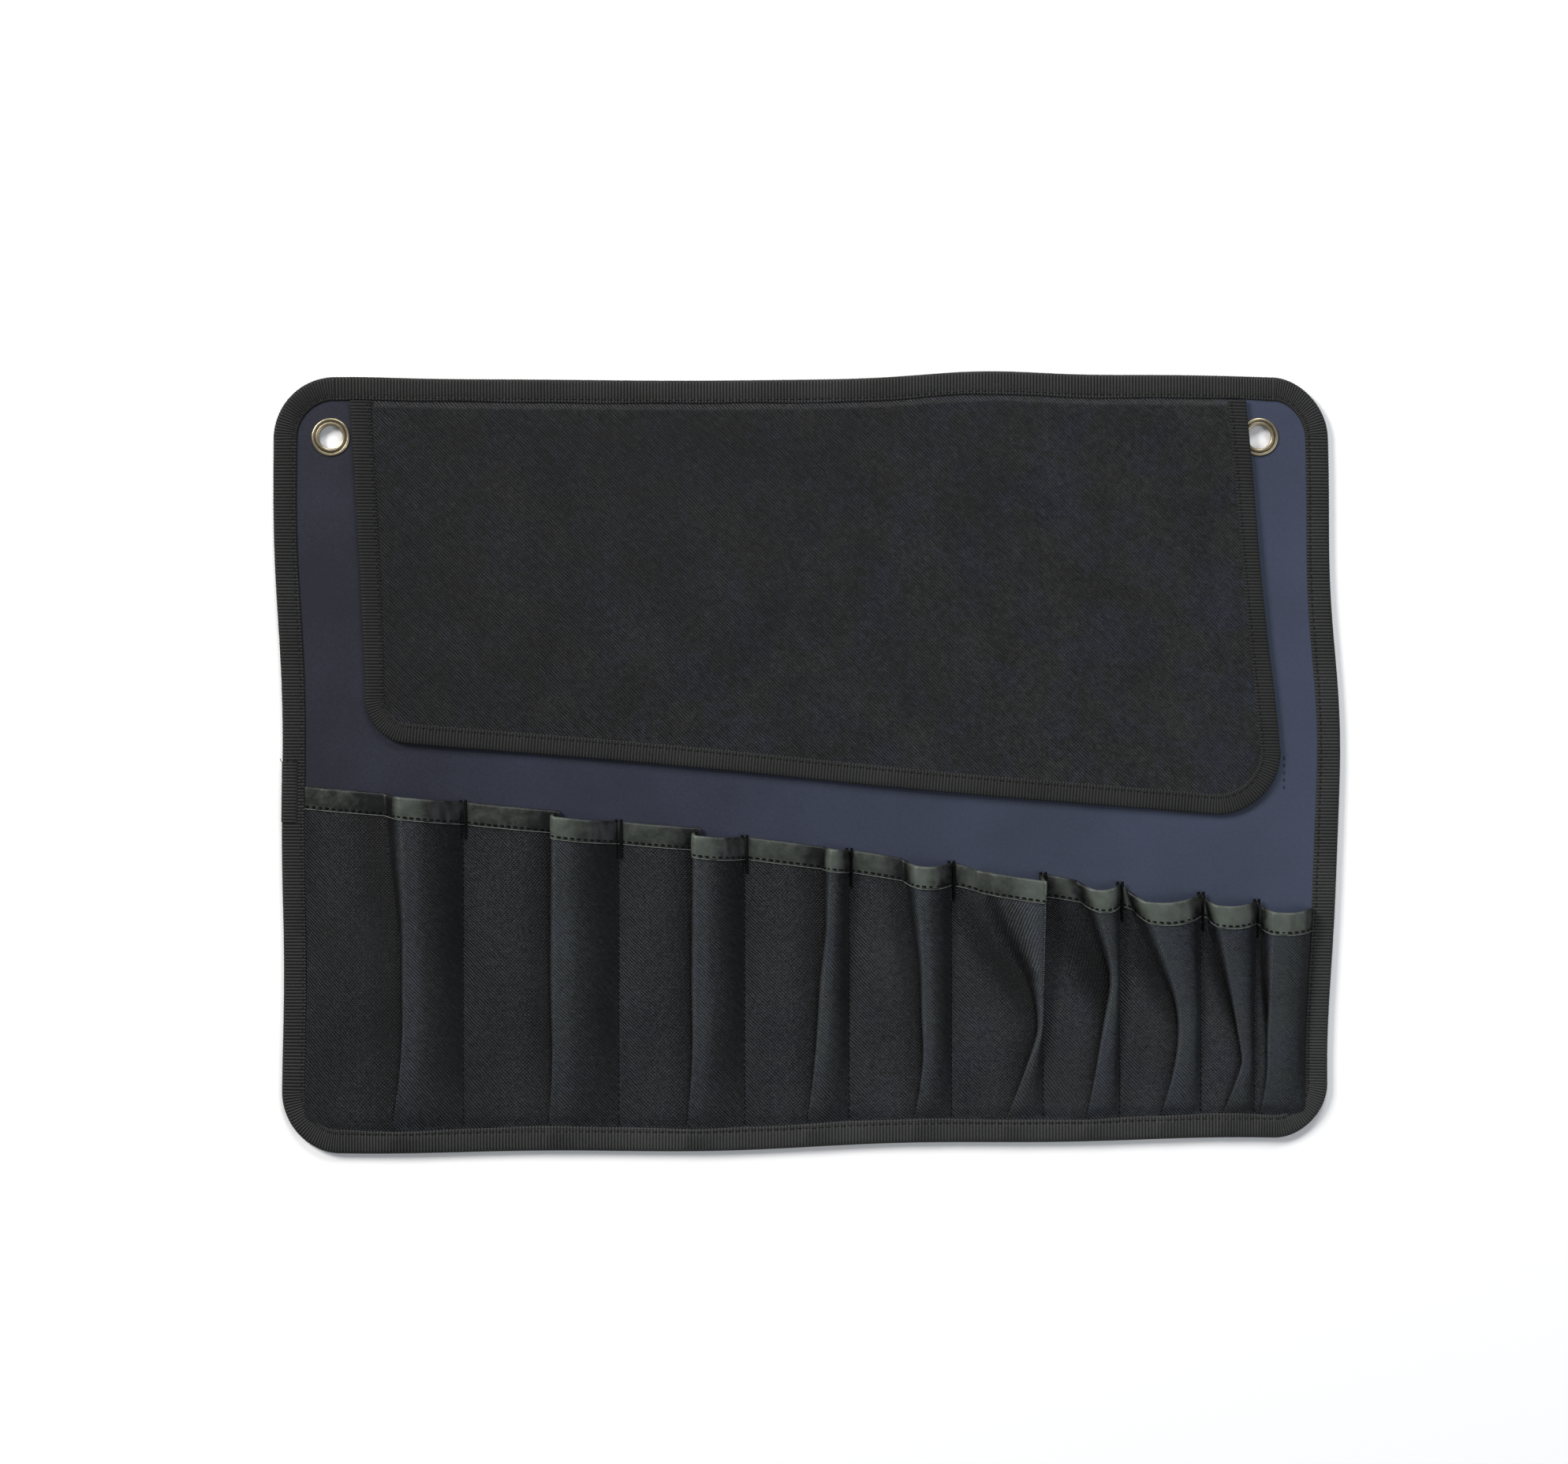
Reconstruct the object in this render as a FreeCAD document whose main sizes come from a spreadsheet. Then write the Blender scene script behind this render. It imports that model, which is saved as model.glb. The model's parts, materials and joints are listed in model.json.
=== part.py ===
import FreeCAD, Part
import os
import Sketcher

# Brush roll case lying open, pockets up. The origin is on the table, under the middle of the case.
# +X runs along the row of pockets towards the narrow ones, +Y towards the eyelets, +Z up.

doc = FreeCAD.newDocument("brush_roll_case")
sheet = doc.addObject("Spreadsheet::Sheet", "Sheet")

SIZES = [
    ("case_length", 500), ("case_width", 360), ("corner_radius", 28),
    ("tape_width", 11), ("tape_top", 3.0), ("tape_cover", 1.0),
    ("lift", 1.5), ("cloth", 0.7), ("fold_gap", 0.4),
    ("front_flange", 1.5), ("pleat_rise", 9.7), ("narrow_rise", 7.9), ("narrow_width", 45),
    ("crest_share", 0.2), ("front_cloth", 0.8), ("foot_rise", 3.4), ("foot_run", 45), ("foot_seam", 4),
    ("mouth_left", 157.7), ("mouth_right", 98.4), ("trim_width", 10), ("trim_cloth", 0.6),
    ("flap_under", 3.5), ("flap_cloth", 0.6), ("hem_width", 9.5), ("hem_cover", 0.6), ("hem_face", 0.4),
    ("flap_left_top_in", 35.4), ("flap_left_foot_in", 42), ("flap_right_top_in", 41),
    ("flap_right_foot_in", 25.4), ("flap_drop_left", 158), ("flap_drop_right", 199),
    ("flap_radius_left", 22), ("flap_radius_right", 30),
    ("eyelet_left_in", 26.5), ("eyelet_right_in", 36.1), ("eyelet_drop", 28),
    ("eyelet_bore", 5.5), ("eyelet_barrel", 6.2), ("eyelet_flange", 9), ("eyelet_plate", 0.7),
    ("panel_hole", 6.3),
    ("strap_in", 26), ("strap_length", 340), ("strap_y", -3.6), ("strap_width", 25),
    ("strap_under", 0.35), ("strap_cloth", 0.7), ("strap_sewn", 25),
    ("loop_length", 90), ("loop_from", 35), ("hook_length", 50), ("hook_cloth", 0.3), ("patch_width", 22),
]
# Shares of the width between the side tapes, pocket by pocket from the wide end.
POCKET_SHARES = [77, 73, 59, 49, 48, 43, 36, 38, 27, 28]
POCKETS = len(POCKET_SHARES)
# The case folds along these pocket seams, counted from the wide end.
FOLD_SEAMS = [1, 2, 3, 4, 5, 6, 8]
STRIPS = len(FOLD_SEAMS) + 1

for row, (alias, size) in enumerate(SIZES, start=1):
    sheet.set(f"A{row}", alias)
    sheet.set(f"B{row}", str(size))
    sheet.setAlias(f"B{row}", alias)
for number, share in enumerate(POCKET_SHARES, start=1):
    row = len(SIZES) + number
    sheet.set(f"A{row}", f"pocket_share_{number}")
    sheet.set(f"B{row}", str(share))
    sheet.setAlias(f"B{row}", f"pocket_share_{number}")
doc.recompute()


def value(expression):
    return float(sheet.evalExpression(expression))


def shares(count):
    return " + ".join(f"Sheet.pocket_share_{number}" for number in range(1, count + 1))


HALF_LENGTH = "Sheet.case_length / 2"
HALF_WIDTH = "Sheet.case_width / 2"
INNER_X = f"({HALF_LENGTH} - Sheet.tape_width)"
INNER_Y = f"({HALF_WIDTH} - Sheet.tape_width)"
PANEL_TOP = "(Sheet.lift + Sheet.cloth)"
EYELET_LEFT_X = f"(Sheet.eyelet_left_in - {HALF_LENGTH})"
EYELET_RIGHT_X = f"({HALF_LENGTH} - Sheet.eyelet_right_in)"
EYELET_Y = f"({HALF_WIDTH} - Sheet.eyelet_drop)"
FLAP_LEFT_TOP = f"(Sheet.flap_left_top_in - {HALF_LENGTH})"
FLAP_LEFT_FOOT = f"(Sheet.flap_left_foot_in - {HALF_LENGTH})"
FLAP_RIGHT_TOP = f"({HALF_LENGTH} - Sheet.flap_right_top_in)"
FLAP_RIGHT_FOOT = f"({HALF_LENGTH} - Sheet.flap_right_foot_in)"
STRAP_X = f"({HALF_LENGTH} - Sheet.strap_in)"


def seam(number):
    """Expression for the x of a pocket seam; 0 and POCKETS are the side tapes' inner edges."""
    if number == 0:
        return f"(-{INNER_X})"
    if number == POCKETS:
        return INNER_X
    return f"(2 * {INNER_X} * ({shares(number)}) / ({shares(POCKETS)}) - {INNER_X})"


def gap_at(number):
    return "Sheet.fold_gap" if number in FOLD_SEAMS else "0"


def strip_left(strip):
    if strip == 1:
        return f"(-{HALF_LENGTH})"
    return f"({seam(FOLD_SEAMS[strip - 2])} + Sheet.fold_gap)"


def strip_right(strip):
    if strip == STRIPS:
        return f"({HALF_LENGTH})"
    return f"({seam(FOLD_SEAMS[strip - 1])} - Sheet.fold_gap)"


def new_body(label):
    body = doc.addObject("PartDesign::Body", label)
    body.Label = label
    return body


def origin_plane(body, role):
    return next(plane for plane in body.Origin.OriginFeatures if plane.Role == role)


def new_sketch(body, name, role, offset):
    sketch = body.newObject("Sketcher::SketchObject", name)
    sketch.AttachmentSupport = (origin_plane(body, role), [""])
    sketch.MapMode = "FlatFace"
    sketch.setExpression("AttachmentOffset.Base.z", offset)
    return sketch


def pin_point(sketch, geometry, point, across, up):
    for kind, expression in (("DistanceX", across), ("DistanceY", up)):
        rule = Sketcher.Constraint(kind, -1, 1, geometry, point, value(expression))
        index = sketch.addConstraint(rule)
        sketch.setExpression(f"Constraints[{index}]", expression)


def polygon(body, name, role, offset, corners):
    """Closed outline through corners given as pairs of expressions."""
    sketch = new_sketch(body, name, role, offset)
    points = [FreeCAD.Vector(value(across), value(up), 0) for across, up in corners]
    count = len(points)
    for index in range(count):
        sketch.addGeometry(Part.LineSegment(points[index], points[(index + 1) % count]), False)
    for index in range(count):
        following = (index + 1) % count
        sketch.addConstraint(Sketcher.Constraint("Coincident", index, 2, following, 1))
    for index, (across, up) in enumerate(corners):
        pin_point(sketch, index, 1, across, up)
    return sketch


def rectangle(body, name, offset, left, right, foot, head):
    corners = [(left, foot), (right, foot), (right, head), (left, head)]
    return polygon(body, name, "XY_Plane", offset, corners)


def circle(body, name, offset, across, up, radius):
    sketch = new_sketch(body, name, "XY_Plane", offset)
    centre = FreeCAD.Vector(value(across), value(up), 0)
    sketch.addGeometry(Part.Circle(centre, FreeCAD.Vector(0, 0, 1), value(radius)), False)
    pin_point(sketch, 0, 3, across, up)
    index = sketch.addConstraint(Sketcher.Constraint("Radius", 0, value(radius)))
    sketch.setExpression(f"Constraints[{index}]", radius)
    return sketch


def pad(body, sketch, name, height):
    feature = body.newObject("PartDesign::Pad", name)
    feature.Profile = sketch
    feature.setExpression("Length", height)
    sketch.Visibility = False
    doc.recompute()
    return feature


def cut_through(body, sketch, name):
    """Pocket through everything on the sketch's normal side; it must take material away."""
    before = body.Shape.Volume
    feature = body.newObject("PartDesign::Pocket", name)
    feature.Profile = sketch
    feature.Type = "ThroughAll"
    feature.Reversed = True
    doc.recompute()
    if not body.Shape.Volume < before - 0.01:
        raise RuntimeError(f"{name} cuts nothing")
    return feature


def round_corners(body, feature, name, spots, radius):
    """Fillet of the upright edges that stand on the given spots."""
    wanted = [FreeCAD.Vector(value(across), value(up), 0) for across, up in spots]
    names = []
    for index, edge in enumerate(feature.Shape.Edges, start=1):
        low, high = edge.Vertexes[0].Point, edge.Vertexes[-1].Point
        upright = abs(low.x - high.x) < 1e-6 and abs(low.y - high.y) < 1e-6
        flat = FreeCAD.Vector(low.x, low.y, 0)
        if upright and any(flat.distanceToPoint(spot) < 1e-4 for spot in wanted):
            names.append(f"Edge{index}")
    if len(names) != len(wanted):
        raise RuntimeError(f"{name} finds {len(names)} edges")
    fillet = body.newObject("PartDesign::Fillet", name)
    fillet.Base = (feature, names)
    fillet.setExpression("Radius", radius)
    doc.recompute()
    return fillet


parts = []


def keep(feature, label):
    feature.Label = label
    parts.append(feature)


def cut(name, base, tool):
    feature = doc.addObject("Part::Cut", name)
    feature.Base = base
    feature.Tool = tool
    return feature


# Back panel and the tape folded round its edge, one piece of each per strip.

def end_spots(strip, inset):
    """Outer corners of an end strip, inset from the case's outline."""
    side = "-1" if strip == 1 else "1"
    across = f"{side} * ({HALF_LENGTH} - {inset})"
    up = f"({HALF_WIDTH} - {inset})"
    return [(across, up), (across, f"(-{up})")]


def slab(label, strip, inset, foot, height):
    """Strip-wide slab, inset from the case's outline, with the outer corners rounded."""
    left = strip_left(strip)
    right = strip_right(strip)
    if strip == 1:
        left = f"({left} + {inset})"
    if strip == STRIPS:
        right = f"({right} - {inset})"
    body = new_body(label)
    reach = f"({HALF_WIDTH} - {inset})"
    outline = rectangle(body, f"{label}_outline", foot, left, right, f"-{reach}", reach)
    block = pad(body, outline, f"{label}_pad", height)
    if strip in (1, STRIPS):
        radius = f"Sheet.corner_radius - {inset}"
        round_corners(body, block, f"{label}_corners", end_spots(strip, inset), radius)
    return body


def back_panel(strip):
    label = f"back_panel_{strip}"
    body = slab(label, strip, "Sheet.tape_cover", "Sheet.lift", "Sheet.cloth")
    eyelet_x = {1: EYELET_LEFT_X, STRIPS: EYELET_RIGHT_X}.get(strip)
    if eyelet_x:
        hole = circle(body, f"{label}_eyelet", "0", eyelet_x, EYELET_Y, "Sheet.panel_hole")
        cut_through(body, hole, f"{label}_hole")
    keep(body, label)
    return body


def edge_binding(strip, panel):
    label = f"edge_binding_{strip}"
    block = slab(f"{label}_block", strip, "0", "0", "Sheet.tape_top")
    window = slab(f"{label}_window", strip, "Sheet.tape_width", "-1", "Sheet.tape_top + 2")
    rim = cut(f"{label}_rim", block, window)
    binding = cut(label, rim, panel)
    keep(binding, label)
    return binding


bindings = {strip: edge_binding(strip, back_panel(strip)) for strip in range(1, STRIPS + 1)}


# Pocket fronts: each a pleated sheet raised in an arch, sewn down along its seams and its foot.

def mouth_y(across):
    """Height of the slanted pocket mouths above the foot, as a y."""
    fall = "(Sheet.mouth_left - Sheet.mouth_right)"
    return f"(Sheet.mouth_left - {INNER_Y} - {fall} * ({across} + {INNER_X}) / (2 * {INNER_X}))"


def front_span(number):
    left = f"({seam(number - 1)} + {gap_at(number - 1)})"
    right = f"({seam(number)} - {gap_at(number)})"
    return left, right


def arch(left, right, low, rise, inset):
    """Upper outline of a front across a pocket: flange, slope, crest, slope, flange."""
    crest = f"(({right} - {left}) * Sheet.crest_share)"
    middle = f"(({left} + {right}) / 2)"
    flange = f"(Sheet.front_flange + {inset})"
    return [(f"{left} + {flange}", low), (f"{middle} - {crest}", rise),
            (f"{middle} + {crest}", rise), (f"{right} - {flange}", low)]


def rise_of(number):
    wide = value(f"2 * {INNER_X} * Sheet.pocket_share_{number} / ({shares(POCKETS)})")
    return "Sheet.pleat_rise" if wide > value("Sheet.narrow_width") else "Sheet.narrow_rise"


def front_section(body, name, y, left, right, rise):
    low = f"({PANEL_TOP} + Sheet.cloth)"
    corners = [(left, PANEL_TOP), (left, low)] + arch(left, right, low, rise, "0")
    corners += [(right, low), (right, PANEL_TOP)]
    return polygon(body, name, "XZ_Plane", f"-({y})", corners)


def room_section(body, name, y, left, right, rise):
    corners = arch(left, right, PANEL_TOP, f"({rise} - Sheet.front_cloth)", "Sheet.front_cloth")
    return polygon(body, name, "XZ_Plane", f"-({y})", corners)


def loft(body, kind, name, sections):
    feature = body.newObject(kind, name)
    feature.Profile = sections[0]
    feature.Sections = sections[1:]
    feature.Ruled = True
    doc.recompute()
    return feature


def mouth_cut(body, name, left, right, shift):
    """Outline of everything beyond the mouth line, shifted along y."""
    beyond = f"(Sheet.mouth_left - {INNER_Y} + 40)"
    wide_left = f"({left} - 2)"
    wide_right = f"({right} + 2)"
    corners = [(wide_left, f"{mouth_y(wide_left)} + {shift}"),
               (wide_right, f"{mouth_y(wide_right)} + {shift}"),
               (wide_right, beyond), (wide_left, beyond)]
    return polygon(body, name, "XY_Plane", "0", corners)


def pocket_front(number):
    label = f"pocket_front_{number}"
    corner_strip = {1: 1, POCKETS: STRIPS}.get(number)
    left, right = front_span(number)
    rise = rise_of(number)
    body = new_body(f"{label}_square" if corner_strip else label)
    foot = f"(-{INNER_Y})"
    full = f"({foot} + Sheet.foot_run)"
    top = f"(Sheet.mouth_left - {INNER_Y} + 20)"
    outer = [front_section(body, f"{label}_foot", foot, left, right, "Sheet.foot_rise"),
             front_section(body, f"{label}_full", full, left, right, rise),
             front_section(body, f"{label}_top", top, left, right, rise)]
    loft(body, "PartDesign::AdditiveLoft", f"{label}_cloth", outer)
    seam_y = f"{foot} + Sheet.foot_seam"
    inner = [room_section(body, f"{label}_room_foot", seam_y, left, right, "Sheet.foot_rise"),
             room_section(body, f"{label}_room_full", f"{full} + Sheet.foot_seam", left, right, rise),
             room_section(body, f"{label}_room_top", f"{top} + 5", left, right, rise)]
    before = body.Shape.Volume
    loft(body, "PartDesign::SubtractiveLoft", f"{label}_room", inner)
    if not body.Shape.Volume < before / 2:
        raise RuntimeError(f"{label} is not hollow")
    beyond = mouth_cut(body, f"{label}_beyond", left, right, "0")
    cut_through(body, beyond, f"{label}_mouth")
    if corner_strip:
        body = cut(label, body, bindings[corner_strip])
    keep(body, label)


def pocket_trim(number):
    label = f"pocket_trim_{number}"
    left, right = front_span(number)
    low = f"({PANEL_TOP} + Sheet.cloth)"
    path = [(left, low)] + arch(left, right, low, rise_of(number), "0") + [(right, low)]
    over = [(across, f"{up} + Sheet.trim_cloth") for across, up in reversed(path)]
    body = new_body(label)
    top = f"(Sheet.mouth_left - {INNER_Y} + 10)"
    ring = polygon(body, f"{label}_ring", "XZ_Plane", f"-({top})", path + over)
    pad(body, ring, f"{label}_pad", "Sheet.mouth_left - Sheet.mouth_right + Sheet.trim_width + 30")
    beyond = mouth_cut(body, f"{label}_beyond", left, right, "0")
    cut_through(body, beyond, f"{label}_mouth")
    wide_left = f"({left} - 2)"
    wide_right = f"({right} + 2)"
    below = f"(-{INNER_Y})"
    corners = [(wide_left, below), (wide_right, below),
               (wide_right, f"{mouth_y(wide_right)} - Sheet.trim_width"),
               (wide_left, f"{mouth_y(wide_left)} - Sheet.trim_width")]
    cut_through(body, polygon(body, f"{label}_below", "XY_Plane", "0", corners), f"{label}_foot")
    keep(body, label)


for number in range(1, POCKETS + 1):
    pocket_front(number)
    pocket_trim(number)


# Dust flap: a skewed sheet hinged along the top tape, with a folded hem on its three free edges.

def flap_foot(across, inset):
    span = f"({FLAP_RIGHT_FOOT} - {FLAP_LEFT_FOOT})"
    fall = "(Sheet.flap_drop_right - Sheet.flap_drop_left)"
    drop = f"(Sheet.flap_drop_left + {fall} * ({across} - {FLAP_LEFT_FOOT}) / {span})"
    return f"({INNER_Y} - {drop} + {inset})"


def flap_slab(label, strip, inset, foot, height):
    """Strip of the flap, inset from its free edges, from z = foot up."""
    left = strip_left(strip)
    right = strip_right(strip)
    left_top = left_foot = left
    right_top = right_foot = right
    if strip == 1:
        left_top = f"({FLAP_LEFT_TOP} + {inset})"
        left_foot = f"({FLAP_LEFT_FOOT} + {inset})"
    if strip == STRIPS:
        right_top = f"({FLAP_RIGHT_TOP} - {inset})"
        right_foot = f"({FLAP_RIGHT_FOOT} - {inset})"
    foot_left = (left_foot, flap_foot(left_foot, inset))
    foot_right = (right_foot, flap_foot(right_foot, inset))
    body = new_body(label)
    corners = [foot_left, foot_right, (right_top, INNER_Y), (left_top, INNER_Y)]
    block = pad(body, polygon(body, f"{label}_outline", "XY_Plane", foot, corners), f"{label}_pad", height)
    if strip == 1:
        round_corners(body, block, f"{label}_corner", [foot_left], f"Sheet.flap_radius_left - {inset}")
    if strip == STRIPS:
        round_corners(body, block, f"{label}_corner", [foot_right], f"Sheet.flap_radius_right - {inset}")
    return body


def flap_window(label, strip):
    """Room inside the hem, open towards the fold and the neighbouring strips."""
    left = f"({strip_left(strip)} - 1)"
    right = f"({strip_right(strip)} + 1)"
    left_top, left_foot, right_top, right_foot = left, left, right, right
    above = f"({INNER_Y} + 1)"
    if strip == 1:
        left_top = f"({FLAP_LEFT_TOP} + Sheet.hem_width)"
        left_foot = f"({FLAP_LEFT_FOOT} + Sheet.hem_width)"
    if strip == STRIPS:
        right_top = f"({FLAP_RIGHT_TOP} - Sheet.hem_width)"
        right_foot = f"({FLAP_RIGHT_FOOT} - Sheet.hem_width)"
    foot_left = (left_foot, flap_foot(left_foot, "Sheet.hem_width"))
    foot_right = (right_foot, flap_foot(right_foot, "Sheet.hem_width"))
    body = new_body(label)
    corners = [foot_left, foot_right, (right_top, above), (left_top, above)]
    block = pad(body, polygon(body, f"{label}_outline", "XY_Plane", "0", corners), f"{label}_pad", "20")
    if strip == 1:
        radius = "Sheet.flap_radius_left - Sheet.hem_width"
        round_corners(body, block, f"{label}_corner", [foot_left], radius)
    if strip == STRIPS:
        radius = "Sheet.flap_radius_right - Sheet.hem_width"
        round_corners(body, block, f"{label}_corner", [foot_right], radius)
    return body


for strip in range(1, STRIPS + 1):
    sheet_label = f"flap_panel_{strip}"
    hem_label = f"flap_binding_{strip}"
    flap = flap_slab(sheet_label, strip, "Sheet.hem_cover", "Sheet.flap_under", "Sheet.flap_cloth")
    hem_foot = "(Sheet.flap_under - Sheet.hem_face)"
    hem_height = "Sheet.flap_cloth + 2 * Sheet.hem_face"
    hem = flap_slab(f"{hem_label}_block", strip, "0", hem_foot, hem_height)
    ring = cut(f"{hem_label}_ring", hem, flap_window(f"{hem_label}_window", strip))
    keep(flap, sheet_label)
    keep(cut(hem_label, ring, flap), hem_label)


# Eyelets: a flanged barrel from above, and a washer that it is clenched over below.

def turned(label, across, corners):
    """Ring turned about the upright line at the eyelet, from a radius and height outline."""
    body = new_body(label)
    outline = polygon(body, f"{label}_outline", "XZ_Plane", "0", corners)
    ring = body.newObject("PartDesign::Revolution", f"{label}_ring")
    ring.Profile = outline
    ring.ReferenceAxis = (outline, ["V_Axis"])
    ring.Angle = 360
    body.setExpression("Placement.Base.x", across)
    body.setExpression("Placement.Base.y", EYELET_Y)
    doc.recompute()
    keep(body, label)


for side, across in (("left", EYELET_LEFT_X), ("right", EYELET_RIGHT_X)):
    washer_foot = "Sheet.lift - Sheet.eyelet_plate"
    flange_top = f"{PANEL_TOP} + Sheet.eyelet_plate"
    lip = "(Sheet.eyelet_flange - 1)"
    turned(f"eyelet_{side}", across,
           [("Sheet.eyelet_bore", washer_foot), ("Sheet.eyelet_barrel", washer_foot),
            ("Sheet.eyelet_barrel", PANEL_TOP), ("Sheet.eyelet_flange", PANEL_TOP),
            (lip, flange_top), ("Sheet.eyelet_bore", flange_top)])
    turned(f"eyelet_washer_{side}", across,
           [("Sheet.eyelet_barrel", washer_foot), ("Sheet.eyelet_flange", washer_foot),
            ("Sheet.eyelet_flange", "Sheet.lift"), ("Sheet.eyelet_barrel", "Sheet.lift")])


# Closure strap under the case: sewn down at one end, hook patch on its free end, loop patch below.

def strap_slab(label, near, far, width, foot, height):
    body = new_body(label)
    low = f"Sheet.strap_y - {width} / 2"
    high = f"Sheet.strap_y + {width} / 2"
    pad(body, rectangle(body, f"{label}_outline", foot, near, far, low, high), f"{label}_pad", height)
    return body


strap_end = f"({STRAP_X} - Sheet.strap_length)"
strap_over = "(Sheet.strap_under + Sheet.strap_cloth)"
strap = strap_slab("closure_strap", strap_end, STRAP_X, "Sheet.strap_width",
                   "Sheet.strap_under", "Sheet.strap_cloth")
sewn_from = f"({STRAP_X} - Sheet.strap_sewn)"
sewn = rectangle(strap, "closure_strap_sewn", strap_over, sewn_from, STRAP_X,
                 "Sheet.strap_y - Sheet.strap_width / 2", "Sheet.strap_y + Sheet.strap_width / 2")
pad(strap, sewn, "closure_strap_fold", f"Sheet.lift - {strap_over}")
keep(strap, "closure_strap")
hook = strap_slab("hook_patch", f"{strap_end} + 2", f"{strap_end} + 2 + Sheet.hook_length",
                  "Sheet.patch_width", strap_over, "Sheet.hook_cloth")
keep(hook, "hook_patch")
loop_far = f"({STRAP_X} - Sheet.loop_from)"
loop = strap_slab("loop_patch", f"{loop_far} - Sheet.loop_length", loop_far,
                  "Sheet.patch_width", "0", "Sheet.strap_under")
keep(loop, "loop_patch")

doc.recompute()
for item in doc.Objects:
    if "Invalid" in item.State or "Error" in item.State:
        raise RuntimeError(f"{item.Name} did not compute: {item.State}")
for piece in parts:
    if piece.Shape.isNull() or not piece.Shape.isValid():
        raise RuntimeError(f"{piece.Label} has no valid shape")
os.makedirs("parts", exist_ok=True)
for piece in parts:
    piece.Shape.exportStep(f"parts/{piece.Label}.step")
print(len(parts), "parts written")
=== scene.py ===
import json
import math

import bpy
import numpy as np
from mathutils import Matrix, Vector


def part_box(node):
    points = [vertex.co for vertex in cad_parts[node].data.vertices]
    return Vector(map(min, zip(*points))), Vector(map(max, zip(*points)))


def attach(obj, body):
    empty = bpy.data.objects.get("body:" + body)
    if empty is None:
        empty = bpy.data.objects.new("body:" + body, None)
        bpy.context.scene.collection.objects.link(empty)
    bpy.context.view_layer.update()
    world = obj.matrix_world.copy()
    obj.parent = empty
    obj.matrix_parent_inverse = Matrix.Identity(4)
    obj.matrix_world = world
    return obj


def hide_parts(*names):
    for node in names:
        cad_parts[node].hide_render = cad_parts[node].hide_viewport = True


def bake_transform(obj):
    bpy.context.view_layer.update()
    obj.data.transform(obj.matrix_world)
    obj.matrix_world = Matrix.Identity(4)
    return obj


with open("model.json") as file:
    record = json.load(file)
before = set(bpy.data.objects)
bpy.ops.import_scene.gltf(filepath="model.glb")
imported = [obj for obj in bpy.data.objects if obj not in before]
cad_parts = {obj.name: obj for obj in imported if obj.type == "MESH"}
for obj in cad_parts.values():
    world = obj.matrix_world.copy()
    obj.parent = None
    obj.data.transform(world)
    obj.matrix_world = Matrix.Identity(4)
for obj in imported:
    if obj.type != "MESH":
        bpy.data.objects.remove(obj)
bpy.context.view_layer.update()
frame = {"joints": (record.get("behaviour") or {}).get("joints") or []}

MM = 0.001
rng = np.random.default_rng(7)


# Sizes read from the frame, in millimetres.

def corner(node, end, axis):
    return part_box(node)[end][axis] / MM


FOLDS = {joint["name"]: Vector(joint["pos_m"]) / MM for joint in frame["joints"]}
STRIPS = 8
ROLL = [FOLDS[f"roll_fold_{number}"].x for number in range(1, STRIPS)]
POCKETS = 10
HALF_X = corner(f"edge_binding_{STRIPS}", 1, 0)
HALF_Y = corner("edge_binding_2", 1, 1)
TAPE = HALF_X - corner(f"pocket_front_{POCKETS}", 1, 0)
INNER_X, INNER_Y = HALF_X - TAPE, HALF_Y - TAPE
PANEL_LOW, PANEL_TOP = corner("back_panel_2", 0, 2), corner("back_panel_2", 1, 2)
CORNER = 28.0
SEAMS = [-INNER_X]
for number in range(1, POCKETS):
    SEAMS.append((corner(f"pocket_front_{number}", 1, 0) + corner(f"pocket_front_{number + 1}", 0, 0)) / 2)
SEAMS.append(INNER_X)
EDGES = [-HALF_X] + ROLL + [HALF_X]


def middles(places):
    return [(a + b) / 2 for a, b in zip(places, places[1:])]


MIDS = middles(EDGES)
POCKET_STRIP = [1 + sum(x >= fold for fold in ROLL) for x in middles(SEAMS)]
FOLD_HALF = 3.2


# Small shape helpers. Every length is in millimetres until a mesh is made.

def smooth(value, low, high):
    t = np.clip((np.asarray(value, float) - low) / (high - low), 0, 1)
    return t * t * (3 - 2 * t)


def hump(value, centre, spread):
    return np.exp(-((np.asarray(value, float) - centre) / spread) ** 2)


def ripple(x, y, size, seed=0.0):
    """Soft uneven waviness between about -1 and 1, with bumps about size across."""
    x, y = np.asarray(x, float) / size, np.asarray(y, float) / size
    return (np.sin(1.9 * x + 1.1 * y + seed) + np.sin(-1.3 * x + 2.1 * y + 1.7 * seed + 1)
            + np.sin(3.1 * x + 0.6 * y + 2.3 * seed + 2) * 0.6
            + np.sin(0.7 * x - 3.3 * y + 0.9 * seed + 4) * 0.5) / 3.1


def drift(points):
    """The case's outline as it really lies: edges a few millimetres out of true."""
    x, y = points[..., 0], points[..., 1]
    top = 0.3 + 3.4 * hump(x, 82, 40) + 1.9 * hump(x, 165, 60)
    top += 1.0 * hump(x, -215, 30) - 0.7 * hump(x, -60, 60)
    foot = -2.7 + 6.3 * smooth(x, -140, 190) + 0.7 * np.sin(x / 26)
    left = 3.2 - 4.8 * smooth(y, -20, 160) + 0.5 * np.sin(y / 21)
    right = -6.4 + 6.0 * hump(y, -5, 80) + 0.4 * np.sin(y / 17)
    near_top, near_foot = smooth(y, 90, 178), smooth(-y, 110, 178)
    near_left, near_right = smooth(-x, 190, 246), smooth(x, 190, 246)
    out = points.copy()
    out[..., 0] += left * near_left + right * near_right
    out[..., 1] += top * near_top + foot * near_foot
    return out


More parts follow.
